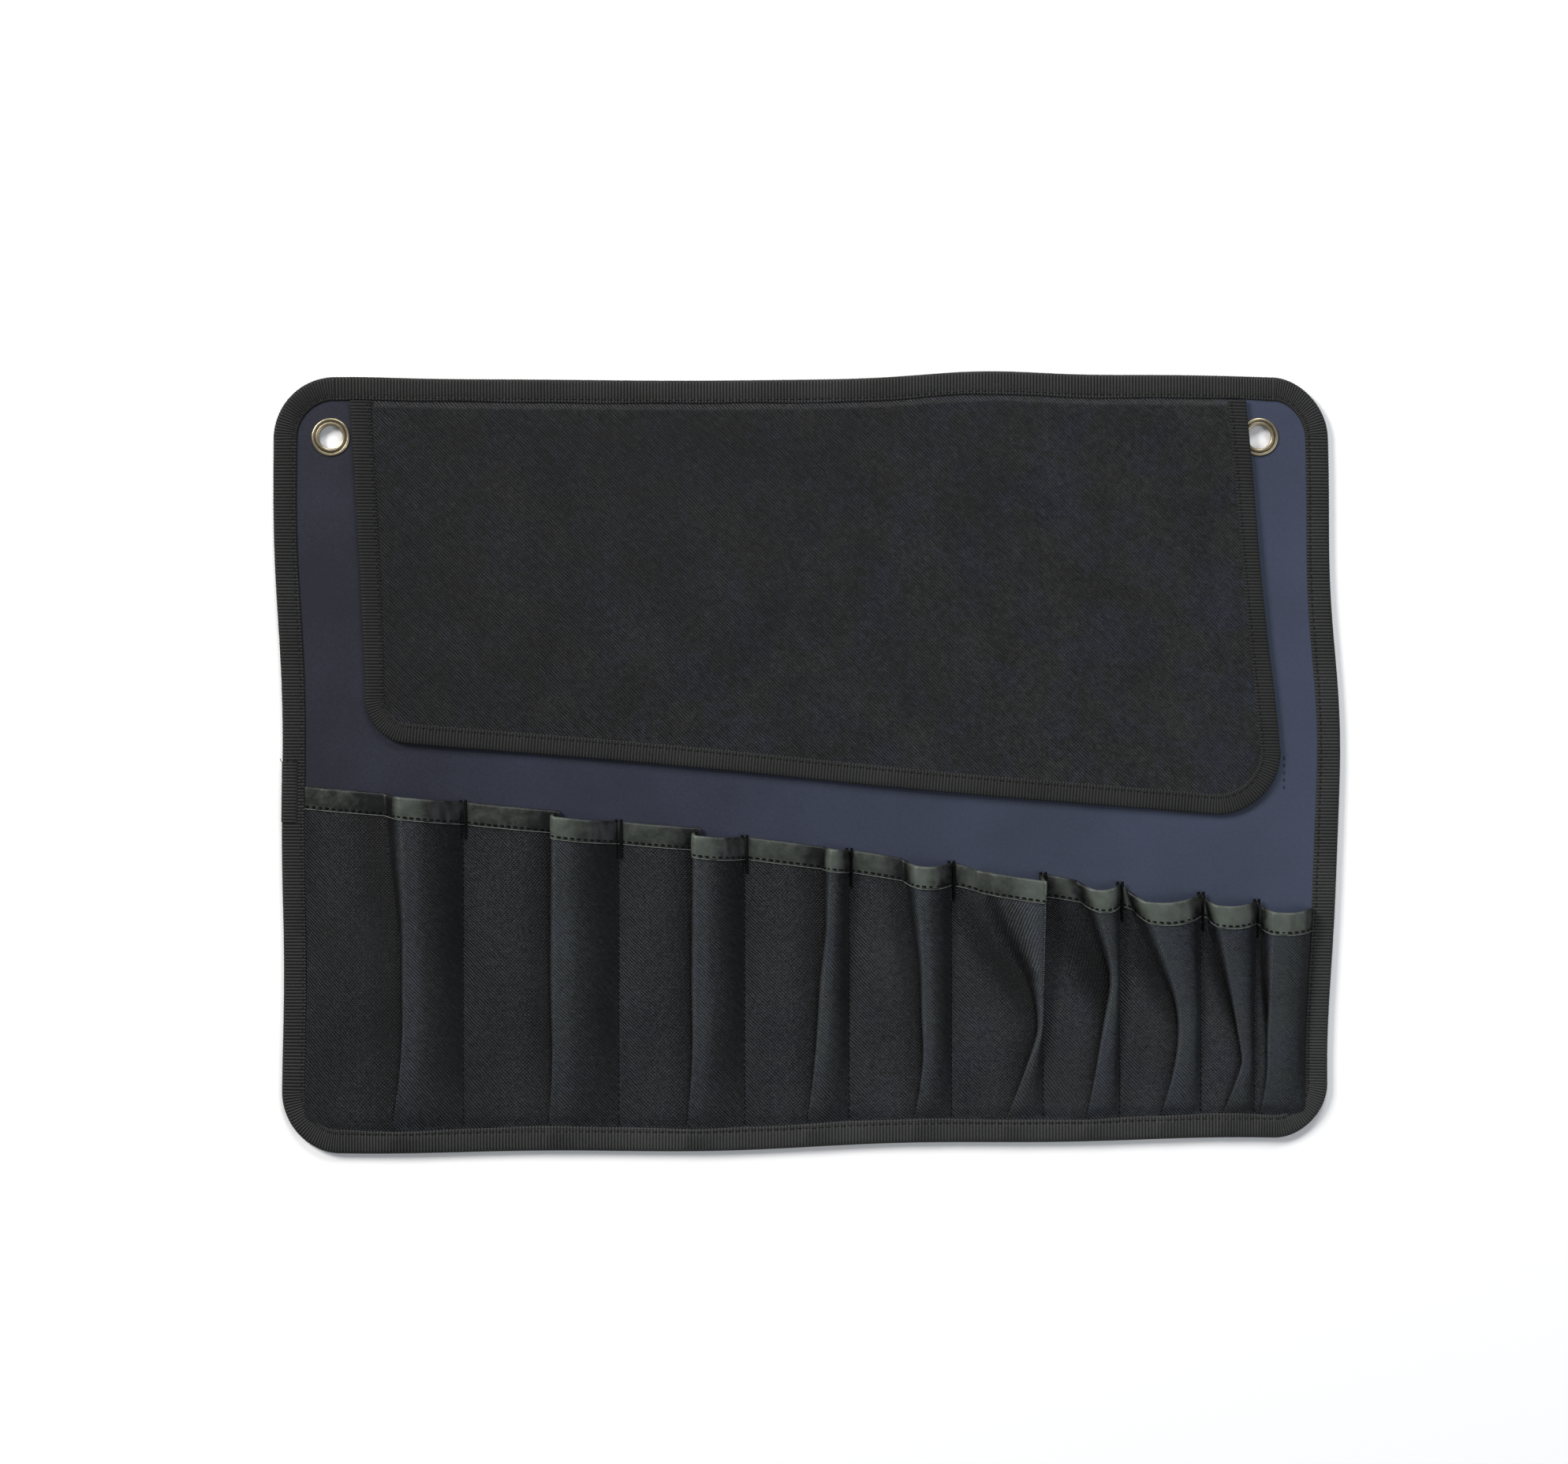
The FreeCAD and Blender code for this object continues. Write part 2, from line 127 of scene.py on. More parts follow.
def normals(grid):
    """Upward normals of a grid of points, rows by columns."""
    across = np.gradient(grid, axis=1)
    along = np.gradient(grid, axis=0)
    n = np.cross(across, along)
    n /= np.maximum(np.linalg.norm(n, axis=2, keepdims=True), 1e-9)
    if n[..., 2].mean() < 0:
        n = -n
    return n


def add_piece(name, points, faces, material, rest=None, extra=None, crease=55, loose=False):
    """A mesh object from points in millimetres, with where each point lies on its cloth."""
    points = np.asarray(points, float).reshape(-1, 3)
    placed = points if loose else drift(points)
    mesh = bpy.data.meshes.new(name)
    mesh.from_pydata((placed * MM).tolist(), [], [list(f) for f in faces])
    mesh.update()
    flat = points if rest is None else np.asarray(rest, float).reshape(-1, 3)
    layer = mesh.attributes.new("cloth", "FLOAT_VECTOR", "POINT")
    layer.data.foreach_set("vector", flat.astype(np.float32).ravel())
    for label, values in (extra or {}).items():
        layer = mesh.attributes.new(label, "FLOAT", "POINT")
        layer.data.foreach_set("value", np.asarray(values, np.float32).ravel())
    mesh.materials.append(material)
    mesh.shade_smooth()
    mesh.set_sharp_from_angle(angle=math.radians(crease))
    piece = bpy.data.objects.new(name, mesh)
    bpy.context.scene.collection.objects.link(piece)
    return piece


def grid_faces(rows, columns, start=0, flip=False, wrap=False):
    """Quads of a grid of points; wrap joins its last column to its first."""
    last = columns if wrap else columns - 1
    r, c = np.meshgrid(np.arange(rows - 1), np.arange(last), indexing="ij")
    a = start + r * columns + c
    b = start + r * columns + (c + 1) % columns
    quads = np.stack([a, b, b + columns, a + columns], axis=-1).reshape(-1, 4)
    return quads[:, ::-1] if flip else quads


def sheet(name, top, low, material, rest=None, extra=None, crease=55):
    """A closed sheet between an upper and a lower grid of the same size."""
    rows, columns = top.shape[:2]
    count = rows * columns
    points = np.concatenate([top.reshape(-1, 3), low.reshape(-1, 3)])
    order = np.arange(count).reshape(rows, columns)
    rim = np.concatenate([order[0, :-1], order[:-1, -1], order[-1, :0:-1], order[:0:-1, 0]])
    after = np.roll(rim, -1)
    walls = np.stack([after, rim, rim + count, after + count], axis=1)
    faces = np.concatenate([grid_faces(rows, columns), grid_faces(rows, columns, count, True), walls])
    flat = top if rest is None else rest
    flat = np.concatenate([flat.reshape(-1, 3), flat.reshape(-1, 3)])
    doubled = {k: np.concatenate([np.ravel(v), np.ravel(v)]) for k, v in (extra or {}).items()}
    return add_piece(name, points, faces, material, flat, doubled, crease)


def swept(name, sections, material, extra):
    """A closed bar through a row of closed cross-sections, with both ends capped."""
    rows, columns = sections.shape[:2]
    faces = grid_faces(rows, columns, wrap=True).tolist()
    faces.append(list(range(columns))[::-1])
    faces.append(list(range((rows - 1) * columns, rows * columns)))
    return add_piece(name, sections, faces, material, extra=extra, crease=70)


def cloth_area(grid):
    """Area of a grid of points, in square metres."""
    a = grid[1:, 1:] - grid[:-1, :-1]
    b = grid[1:, :-1] - grid[:-1, 1:]
    return float(np.linalg.norm(np.cross(a, b), axis=2).sum() / 2) * MM * MM


def ride_strip(piece, strip):
    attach(piece, f"strip_{strip}")


def bend_at_fold(piece, fold):
    """Cloth that crosses roll fold number fold: only its place is baked into its points, and it does not
    bend with the fold.
    """
    x = ROLL[fold - 1]
    f"strip_{fold + 1}"
    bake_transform(piece)


def columns_between(low, high, step, folds=()):
    """Evenly spaced positions, much closer together beside each fold."""
    parts = [np.linspace(low, high, max(2, int(round((high - low) / step)) + 1))]
    for x in folds:
        if low < x < high:
            parts.append(np.linspace(max(low, x - FOLD_HALF - 0.6), min(high, x + FOLD_HALF + 0.6), 21))
    merged = np.unique(np.round(np.concatenate(parts), 3))
    keep = [merged[0]]
    for value in merged[1:]:
        if value - keep[-1] > 0.12:
            keep.append(value)
    keep[-1] = merged[-1]
    return np.array(keep)


# Materials, written as expressions on node sockets.

class Socket:
    """A node's output, with arithmetic that adds Math nodes."""

    def __init__(self, finish, link):
        self.finish, self.link = finish, link

    def maths(self, kind, other, swap=False):
        pair = (other, self) if swap else (self, other)
        return self.finish.node("ShaderNodeMath", {"operation": kind}, {0: pair[0], 1: pair[1]})

    def __add__(self, other):
        return self.maths("ADD", other)

    def __sub__(self, other):
        return self.maths("SUBTRACT", other)

    def __rsub__(self, other):
        return self.maths("SUBTRACT", other, True)

    def __mul__(self, other):
        return self.maths("MULTIPLY", other)

    def __pow__(self, other):
        return self.maths("POWER", other)

    __radd__ = __add__
    __rmul__ = __mul__

    def clamp(self, low=0.0, high=1.0):
        return self.maths("MAXIMUM", low).maths("MINIMUM", high)


class Finish:
    """One material: its nodes are made by node(), and its shader by shade()."""

    def __init__(self, name):
        self.material = bpy.data.materials.new(name)
        self.material.use_nodes = True
        self.tree = self.material.node_tree
        self.tree.nodes.clear()

    def node(self, kind, settings, sockets, out=0):
        made = self.tree.nodes.new(kind)
        for key, value in settings.items():
            setattr(made, key, value)
        for key, value in sockets.items():
            if isinstance(value, Socket):
                self.tree.links.new(value.link, made.inputs[key])
            else:
                made.inputs[key].default_value = value
        return Socket(self, made.outputs[out] if made.outputs else None)

    def place(self):
        """Position on the cloth in millimetres."""
        return self.node("ShaderNodeAttribute", {"attribute_name": "cloth"}, {}, out=1)

    def value(self, name):
        return self.node("ShaderNodeAttribute", {"attribute_name": name}, {}, out=2)

    def noise(self, at, per_mm, detail=2.0, rough=0.5):
        sockets = {"Vector": at, "Scale": per_mm, "Detail": detail, "Roughness": rough}
        return self.node("ShaderNodeTexNoise", {}, sockets)

    def part(self, at, axis):
        return self.node("ShaderNodeSeparateXYZ", {}, {0: at}, out=axis)

    def wave(self, position, pitch):
        """0 to 1 across each pitch of a position in millimetres."""
        turns = position * (2 * math.pi / pitch)
        return self.node("ShaderNodeMath", {"operation": "SINE"}, {0: turns}) * 0.5 + 0.5

    def mix(self, amount, low, high):
        """Colour from low to high by amount."""
        sockets = {0: amount, 6: low, 7: high}
        for key in (6, 7):
            if isinstance(sockets[key], tuple) and len(sockets[key]) == 3:
                sockets[key] = (*sockets[key], 1)
        return self.node("ShaderNodeMix", {"data_type": "RGBA"}, sockets, out=2)

    def bump(self, height, strength, distance):
        sockets = {"Height": height, "Strength": strength, "Distance": distance}
        return self.node("ShaderNodeBump", {}, sockets)

    def shade(self, **sockets):
        """The shader: underscores in a name stand for its spaces."""
        wanted = {key.replace("_", " "): value for key, value in sockets.items()}
        shader = self.node("ShaderNodeBsdfPrincipled", {}, wanted)
        self.node("ShaderNodeOutputMaterial", {}, {0: shader})
        return self.material


def linear(red, green, blue):
    """Linear colour from the 0 to 255 scale of a paint chart."""
    def one(channel):
        c = channel / 255
        return c / 12.92 if c <= 0.04045 else ((c + 0.055) / 1.055) ** 2.4
    return (one(red), one(green), one(blue))


def coated_nylon():
    """Navy taffeta with a smooth coating: fine threads, cloudy tone, soft shine."""
    f = Finish("coated_nylon")
    at = f.place()
    x, y = f.part(at, 0), f.part(at, 1)
    threads = f.wave(x, 0.55) * 0.5 + f.wave(y, 0.55) * 0.5
    cloud = f.noise(at, 0.018, 3.0)
    grain = f.noise(at, 1.1, 3.0, 0.7)
    # x * 0.0016 is a painted gradient: the navy is painted lighter towards the narrow end.
    tone = (cloud * 0.5 + x * 0.0016 + 0.13 + (grain - 0.5) * 0.5 + threads * 0.07).clamp()
    colour = f.mix(tone, linear(26, 26, 36), linear(60, 67, 86))
    height = threads * 0.4 + grain * 0.6
    return f.shade(Base_Color=colour, Roughness=0.5 - tone * 0.08, Specular_IOR_Level=0.3,
                   Sheen_Weight=0.03, Sheen_Roughness=0.4,
                   Normal=f.bump(height, 0.25, 0.0001))


def twill(name, low, high, bluish, lean):
    """Heavy polyester with fine slanted ribs that change direction, mottled, bluish in patches; painted
    lighter to the right and towards the foot, with the pleats' painted highlight and painted shade.
    """
    f = Finish(name)
    at = f.place()
    x, y = f.part(at, 0), f.part(at, 1)
    bend = f.noise(at, 0.12, 2.0) * 1.2
    one = f.wave(x + y + bend, TWILL_PITCH)
    other = f.wave(x - y + bend, TWILL_PITCH)
    way = f.value("lean") if lean else 0.0
    rib = one + (other - one) * way if lean else one
    cross = f.wave(x, 0.62) * f.wave(y, 0.62)
    grain = f.noise(at, 0.9, 3.0, 0.7)
    mottle = f.noise(at, 0.36, 2.0, 0.65)
    cloud = f.noise(at, 0.03, 3.0)
    # Painted light: a painted gradient, lighter to the right and towards the foot, and on the pocket cloth
    # the pleats' painted highlight and painted shade.
    painted_gradient = (x * 0.0008 - y * 0.0006).clamp(-0.2, 0.2)
    painted_light_extras = f.value("painted_light") * 0.42 if lean else 0.0
    uneven = (grain - 0.5) * 1.5 + (mottle - 0.5) * 0.8 + (cloud - 0.5) * 0.45
    tone = (rib * 0.55 + cross * 0.15 + uneven + painted_gradient + painted_light_extras).clamp() ** 1.3
    tint = ((f.noise(at, 0.045, 4.0, 0.7) - 0.42) * 5).clamp()
    colour = f.mix(tone, low, f.mix(tint, high, bluish))
    return f.shade(Base_Color=colour, Roughness=0.55 - rib * 0.12, Specular_IOR_Level=0.25,
                   Sheen_Weight=0.04, Sheen_Roughness=0.35, Sheen_Tint=(0.75, 0.8, 0.88, 1),
                   Normal=f.bump(rib * 0.75 + cross * 0.3 + grain * 0.3, 0.9, 0.0004))


def ribbed_tape(name, low, high):
    """Grosgrain: ribs across the tape with fine warp between, with painted shade towards the wide end and
    painted light towards the foot.
    """
    f = Finish(name)
    at = f.place()
    rib = f.wave(f.value("along"), RIB_PITCH)
    warp = f.wave(f.value("inward"), 0.42)
    grain = f.noise(at, 1.3, 3.0, 0.7)
    cloud = f.noise(at, 0.045)
    uneven = (grain - 0.5) * 0.9 + (cloud - 0.5) * 0.4
    # Painted light: a painted gradient, darker towards the wide end and lighter towards the foot.
    painted_gradient = (f.part(at, 0) * 0.0013 + 0.08).clamp(-0.24, 0.02) - f.part(at, 1) * 0.0006
    tone = (rib * 0.72 + warp * 0.12 + uneven - 0.04 + painted_gradient).clamp()
    colour = f.mix(tone, linear(*low), linear(*high))
    return f.shade(Base_Color=colour, Roughness=0.75 - rib * 0.12, Specular_IOR_Level=0.25,
                   Sheen_Weight=0.06, Sheen_Roughness=0.4, Sheen_Tint=(0.85, 0.85, 0.8, 1),
                   Normal=f.bump(warp * 0.4 + grain * 0.4, 0.35, 0.0002))


def vinyl():
    """Soft grey-green vinyl with a slight shine and fine creases, with the cloth's painted highlight and
    painted shade, and painted darker towards the wide end and lighter towards the narrow end.
    """
    f = Finish("vinyl_edging")
    at = f.place()
    creases = f.noise(at, 0.22, 4.0, 0.6)
    grain = f.noise(at, 2.2, 2.0, 0.6)
    # Painted light: a painted gradient lighter towards the narrow end, and the pocket cloth's painted
    # highlight and painted shade at the mouth.
    painted_gradient = (f.part(at, 0) * 0.0011).clamp(-0.22, 0.1)
    tone = (creases * 0.8 + (grain - 0.5) * 0.5 + f.value("painted_light") * 0.5 + painted_gradient).clamp()
    colour = f.mix(tone, linear(3, 4, 4), linear(74, 80, 74))
    return f.shade(Base_Color=colour, Roughness=0.38 + creases * 0.2, Specular_IOR_Level=0.32,
                   Normal=f.bump(creases * 0.8 + grain * 0.2, 0.5, 0.0006))


def cut_edge():
    """The vinyl's pale cut edge."""
    f = Finish("vinyl_cut_edge")
    grain = f.noise(f.place(), 0.8, 3.0, 0.7)
    colour = f.mix(grain, linear(60, 65, 62), linear(128, 132, 127))
    return f.shade(Base_Color=colour, Roughness=0.5, Normal=f.bump(grain, 0.3, 0.0002))


def aged_brass():
    """Nickelled brass, dulled in the hollows and rubbed bright on its rims."""
    f = Finish("aged_brass")
    at = f.place()
    wear = f.noise(at, 0.6, 5.0, 0.7)
    fine = f.noise(at, 5.0, 3.0, 0.6)
    rim = f.value("rim")
    bright = (rim * 0.75 + wear * 0.55 - 0.2).clamp()
    colour = f.mix(bright, linear(44, 36, 26), linear(182, 170, 142))
    return f.shade(Base_Color=colour, Metallic=0.9, Roughness=(0.5 - bright * 0.24 + fine * 0.1).clamp(),
                   Normal=f.bump(wear * 0.6 + fine * 0.4, 0.25, 0.0002))


def thread(name, low, high):
    """Twisted sewing thread."""
    f = Finish(name)
    at = f.place()
    twist = f.wave(f.part(at, 0) + f.part(at, 1), 0.35)
    colour = f.mix(twist, linear(*low), linear(*high))
    return f.shade(Base_Color=colour, Roughness=0.7, Specular_IOR_Level=0.1,
                   Normal=f.bump(twist, 0.4, 0.0001))


def webbing():
    """Woven strap: herringbone of coarse threads."""
    f = Finish("strap_webbing")
    at = f.place()
    x, y = f.part(at, 0), f.part(at, 1)
    row = f.wave(x, 1.9)
    pick = f.wave(y + row * 0.6, 1.3)
    grain = f.noise(at, 1.2, 3.0, 0.7)
    tone = (pick * 0.45 + row * 0.25 + (grain - 0.5) * 0.5 + 0.1).clamp()
    colour = f.mix(tone, linear(18, 19, 21), linear(62, 64, 68))
    return f.shade(Base_Color=colour, Roughness=0.8, Sheen_Weight=0.3,
                   Normal=f.bump(pick * 0.6 + row * 0.4 + grain * 0.3, 0.6, 0.0004))


def pile(name, size, low, high):
    """Hook or loop fastener tape: a dense field of short hooks or loops."""
    f = Finish(name)
    cells = f.node("ShaderNodeTexVoronoi", {}, {"Vector": f.place(), "Scale": size})
    grain = f.noise(f.place(), 2.0, 3.0, 0.7)
    tone = (1.0 - cells * 1.3 + (grain - 0.5) * 0.4).clamp()
    colour = f.mix(tone, linear(*low), linear(*high))
    return f.shade(Base_Color=colour, Roughness=0.75, Sheen_Weight=0.4, Normal=f.bump(tone, 0.8, 0.0006))


def plain_floor():
    f = Finish("studio_floor")
    return f.shade(Base_Color=(0.925, 0.92, 0.925, 1), Roughness=0.85, Specular_IOR_Level=0.2)


RIB_PITCH = 1.5
TWILL_PITCH = 1.63
NYLON = coated_nylon()
POCKET_CLOTH = twill("pocket_cloth", linear(0, 0, 1), linear(51, 55, 57), linear(50, 54, 62), True)
FLAP_CLOTH = twill("flap_cloth", linear(0, 0, 0), linear(53, 54, 53), linear(50, 53, 66), False)
TAPE_CLOTH = ribbed_tape("ribbed_tape", (1, 1, 1), (60, 61, 60))
HEM_CLOTH = ribbed_tape("hem_tape", (0, 0, 0), (45, 46, 45))
VINYL = vinyl()
CUT_EDGE = cut_edge()
BRASS = aged_brass()
DARK_THREAD = thread("dark_thread", (1, 1, 1), (14, 14, 15))
NAVY_THREAD = thread("navy_thread", (22, 24, 40), (60, 64, 92))
GREY_THREAD = thread("grey_thread", (6, 6, 6), (50, 50, 48))


# Stitches: short capsules laid along a seam, all of one seam in one mesh.

STITCH_SIDES = 6
# Share of the stitch's length, and of its radius, at each ring of points.
STITCH_STATIONS = [(0.0, 0.45), (0.12, 0.9), (0.5, 1.1), (0.88, 0.9), (1.0, 0.45)]


def stitches(name, starts, ends, radius, material, lift=(0, 0, 1)):
    starts, ends = np.asarray(starts, float), np.asarray(ends, float)
    along = ends - starts
    length = np.linalg.norm(along, axis=1, keepdims=True)
    along = along / np.maximum(length, 1e-9)
    up = np.broadcast_to(np.asarray(lift, float), along.shape)
    side = np.cross(along, up)
    side /= np.maximum(np.linalg.norm(side, axis=1, keepdims=True), 1e-9)
    up = np.cross(side, along)
    ring = np.linspace(0, 2 * math.pi, STITCH_SIDES, endpoint=False)
    points, faces = [], []
    base, last = 0, (len(STITCH_STATIONS) - 1) * STITCH_SIDES
    body = grid_faces(len(STITCH_STATIONS), STITCH_SIDES, wrap=True)
    for start, way, reach, out, rise in zip(starts, along, length[:, 0], side, up):
        for t, fat in STITCH_STATIONS:
            arch = radius * (0.9 * math.sin(math.pi * t) - 0.35)
            centre = start + way * (reach * t) + rise * arch
            for a in ring:
                points.append(centre + (out * math.cos(a) + rise * math.sin(a)) * radius * fat)
        faces += (body + base).tolist()
        faces.append([base + side for side in range(STITCH_SIDES)][::-1])
        faces.append([base + last + side for side in range(STITCH_SIDES)])
        base += last + STITCH_SIDES
    return add_piece(name, points, faces, material, crease=80)


def run_of_stitches(line, pitch, share=0.72):
    """Starts and ends of even stitches along a line of points."""
    line = np.asarray(line, float)
    steps = np.linalg.norm(np.diff(line, axis=0), axis=1)
    far = np.concatenate([[0], np.cumsum(steps)])
    count = max(1, int(far[-1] / pitch))
    at = np.arange(count) * (far[-1] / count)

    def spot(s):
        return np.stack([np.interp(s, far, line[:, k]) for k in range(3)], axis=1)
    return spot(at), spot(at + pitch * share)


# Back panel: seven lengths of navy cloth, each from the middle of one strip to the next.

PANEL_INSET = 4.0
EYELET_HOLE = 6.0


def panel_height(x, y):
    """Height of the panel's upper face: flat at the tape, faintly wavy in between."""
    free = (1 - smooth(np.abs(x), 205, 238)) * (1 - smooth(np.abs(y), 135, 168))
    return PANEL_TOP + 0.38 * free * ripple(x, y, 48, 0.4) + 0.1 * free * ripple(x, y, 11, 2.0)


def panel_reach(x):
    """Half width of the panel under the tape at x."""
    radius = CORNER - PANEL_INSET
    beyond = np.maximum(np.abs(x) - (HALF_X - CORNER), 0)
    return HALF_Y - CORNER + np.sqrt(np.maximum(radius ** 2 - beyond ** 2, 0))


def cut_hole(piece, x, y, radius):
    """Cuts a round hole upright through a piece."""
    angles = np.linspace(0, 2 * math.pi, 97)[:-1]
    ring = [(x + radius * math.cos(a), y + radius * math.sin(a)) for a in angles]
    count = len(ring)
    points = [(px * MM, py * MM, z * MM) for z in (-5, 12) for px, py in ring]
    faces = [[i, (i + 1) % count, count + (i + 1) % count, count + i] for i in range(count)]
    faces += [list(range(count))[::-1], list(range(count, 2 * count))]
    mesh = bpy.data.meshes.new("punch")
    mesh.from_pydata(points, [], faces)
    punch = bpy.data.objects.new("punch", mesh)
    bpy.context.scene.collection.objects.link(punch)
    modifier = piece.modifiers.new("hole", "BOOLEAN")
    modifier.operation, modifier.object, modifier.solver = "DIFFERENCE", punch, "EXACT"
    depsgraph = bpy.context.evaluated_depsgraph_get()
    cut = bpy.data.meshes.new_from_object(piece.evaluated_get(depsgraph))
    piece.modifiers.clear()
    old = piece.data
    piece.data = cut
    bpy.data.meshes.remove(old)
    bpy.data.objects.remove(punch)
    spots = np.empty(len(cut.vertices) * 3, np.float32)
    cut.vertices.foreach_get("co", spots)
    layer = cut.attributes.get("cloth") or cut.attributes.new("cloth", "FLOAT_VECTOR", "POINT")
    layer.data.foreach_set("vector", spots / MM)
    cut.shade_smooth()
    cut.set_sharp_from_angle(angle=math.radians(50))


def centre_of(node):
    low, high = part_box(node)
    return ((low + high) / 2) / MM


EYELETS = {1: centre_of("eyelet_left"), STRIPS: centre_of("eyelet_right")}


def drifted(x, y):
    spot = drift(np.array([[x, y, 0.0]]))[0]
    return spot[0], spot[1]


for fold in range(1, STRIPS):
    left = -HALF_X + PANEL_INSET if fold == 1 else MIDS[fold - 1]
    right = HALF_X - PANEL_INSET if fold == STRIPS - 1 else MIDS[fold]
    across = columns_between(left, right, 3.0, ROLL)
    if fold in (1, STRIPS - 1):
        rounded = np.linspace(0, 1, 14) ** 1.6 * 20
        edge = left + rounded if fold == 1 else right - rounded
        across = np.unique(np.concatenate([across, edge]))
    up = np.linspace(-1, 1, 121)
    x = np.broadcast_to(across, (len(up), len(across)))
    y = up[:, None] * panel_reach(across)[None, :]
    top = np.stack([x, y, panel_height(x, y)], axis=-1)
    low = top - np.array([0, 0, PANEL_TOP - PANEL_LOW])
    piece = sheet(f"back_panel_cloth_{fold}", top, low, NYLON)
    for strip, spot in EYELETS.items():
        if left < spot.x < right:
            hole_x, hole_y = drifted(spot.x, spot.y)
            cut_hole(piece, hole_x, hole_y, EYELET_HOLE)
    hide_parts(f"back_panel_{fold}")
    if fold == STRIPS - 1:
        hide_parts(f"back_panel_{STRIPS}")
    width = (right - left) * MM
    bend_at_fold(piece, fold)


# How each pocket's pleat falls. The crest is given as a share of the pocket's width at the foot, at the
# knee and at the mouth, and the knee as a share of the pocket's height. wall is how far the crest stands
# clear of its crease at the mouth, or folds over it where it is negative. dip_in and dip_out are how far
# the lip hangs below the straight line between its seams, at the crease and at the crest. hold is how far
# the crest's height carries towards the next seam, opening is where the wall starts to spread, and soft is
# how gently the crest turns at the knee.

class Pleat:
    def __init__(self, foot, knee_at, knee, mouth, wall, dip_in, dip_out, hold, opening, soft=0.05):
        self.foot, self.knee_at, self.knee, self.mouth, self.soft = foot, knee_at, knee, mouth, soft
        self.wall, self.dip_in, self.dip_out, self.hold, self.opening = wall, dip_in, dip_out, hold, opening


PLEATS = [Pleat(0.572, 0.28, 0.66, 0.645, 10.0, -0.5, 0.4, 1.7, 0.3),
          Pleat(0.557, 0.25, 0.595, 0.6, -1.3, -1.4, 1.4, 1.7, 0.3),
          Pleat(0.549, 0.30, 0.62, 0.625, -1.4, -1.6, 2.0, 1.7, 0.3),
          Pleat(0.606, 0.40, 0.755, 0.84, 4.5, 0.0, 0.5, 2.0, 0.5),
          Pleat(0.646, 0.28, 0.77, 0.68, 8.0, 1.0, 3.4, 2.0, 0.35),
          Pleat(0.60, 0.38, 0.99, 1.03, 32.0, 2.0, 3.1, 2.0, 0.36, 0.02),
          Pleat(0.574, 0.62, 0.95, 0.69, 9.5, 1.0, 4.2, 3.0, 0.5, 0.04),
          Pleat(0.51, 0.45, 0.875, 0.33, 9.5, 2.0, 6.8, 4.0, 0.35, 0.09),
          Pleat(0.38, 0.28, 0.81, 0.27, 5.5, 1.5, 4.4, 3.5, 0.25, 0.02),
          Pleat(0.13, 0.24, 0.30, 0.30, 6.0, 2.0, 4.0, 6.0, 0.3, 0.03)]


# Edge tape: a ribbed band folded round the edge, with a line of stitches near its inner edge.

def tape_bulge(x):
    """How far the foot tape stands up over the pleats sewn in under it."""
    lift = np.zeros_like(np.asarray(x, float))
    for left, right, pleat in zip(SEAMS, SEAMS[1:], PLEATS):
        crease = left + pleat.foot * (right - left)
        lift = lift + 1.35 * smooth(x, crease - 3.5, crease + 0.5) * (1 - smooth(x, crease + 3, right))
    return lift


TAPE_PROFILE = [(0.0, 1.5), (0.12, 2.3), (0.7, 2.85), (1.8, 3.05), (3.6, 3.12), (5.6, 3.1), (7.4, 3.0),
                (8.5, 2.86), (9.2, 2.68), (9.9, 2.84), (10.6, 2.82), (11.0, 2.5), (11.05, 2.0),
                (11.0, 1.1), (10.6, 0.55), (9.2, 0.4), (7.4, 0.12), (3.6, 0.05), (1.8, 0.12), (0.7, 0.4),
                (0.12, 0.9)]
PROFILE_WAYS = [(-1, 0), (-0.9, 0.4), (-0.5, 0.8)] + [(0, 1)] * 8 + [(0.5, 0.5), (1, 0), (0.5, -0.5)]
PROFILE_WAYS += [(0, -1)] * 5 + [(-0.5, -0.8), (-0.9, -0.4)]
RIB_DEPTH = 0.13
STITCH_IN = 9.2
TAPE_STITCH = 3.4
TAPE_THREAD = 0.26
# Ribs are counted along X from one place, so that they match where two lengths meet.
RIBS_FROM = 500
RIB_POINTS = 5
STITCH_HEIGHTS = (("upper", 2.8), ("under", 0.36))


def tape_band(name, line, inward, far, stretch=1.0, bulge=None, profile=TAPE_PROFILE, ways=PROFILE_WAYS):
    """Ribbed tape along a line of outer-edge points, inward the unit vectors across it."""
    profile = np.array(profile, float)
    count = len(line)
    rib = np.sin(far * (2 * math.pi / RIB_PITCH)) * RIB_DEPTH
    sections = np.zeros((count, len(profile), 3))
    for k, ((w, z), (dw, dz)) in enumerate(zip(profile, ways)):
        across = w * stretch + dw * rib * 0.6
        height = z + dz * rib
        if bulge is not None and z > 2.0:
            height = height + bulge * min(1.0, w / 8)
        sections[:, k, 0] = line[:, 0] + inward[:, 0] * across
        sections[:, k, 1] = line[:, 1] + inward[:, 1] * across
        sections[:, k, 2] = np.maximum(height, 0.0)
    along = np.repeat(far[:, None], len(profile), axis=1)
    inner = np.repeat(profile[None, :, 0], count, axis=0)
    return swept(name, sections, TAPE_CLOTH, {"along": along, "inward": inner})


def straight_run(x_from, x_to, y, way):
    """Outer-edge points, inward vectors and distances of a run along X."""
    far = np.arange(0, abs(x_to - x_from) + 1e-6, RIB_PITCH / RIB_POINTS)
    far = np.append(far[:-1], abs(x_to - x_from))
    x = x_from + np.sign(x_to - x_from) * far
    line = np.stack([x, np.full_like(x, y), np.zeros_like(x)], axis=1)
    inward = np.repeat([[0.0, way, 0.0]], len(x), axis=0)
    return line, inward, x + RIBS_FROM


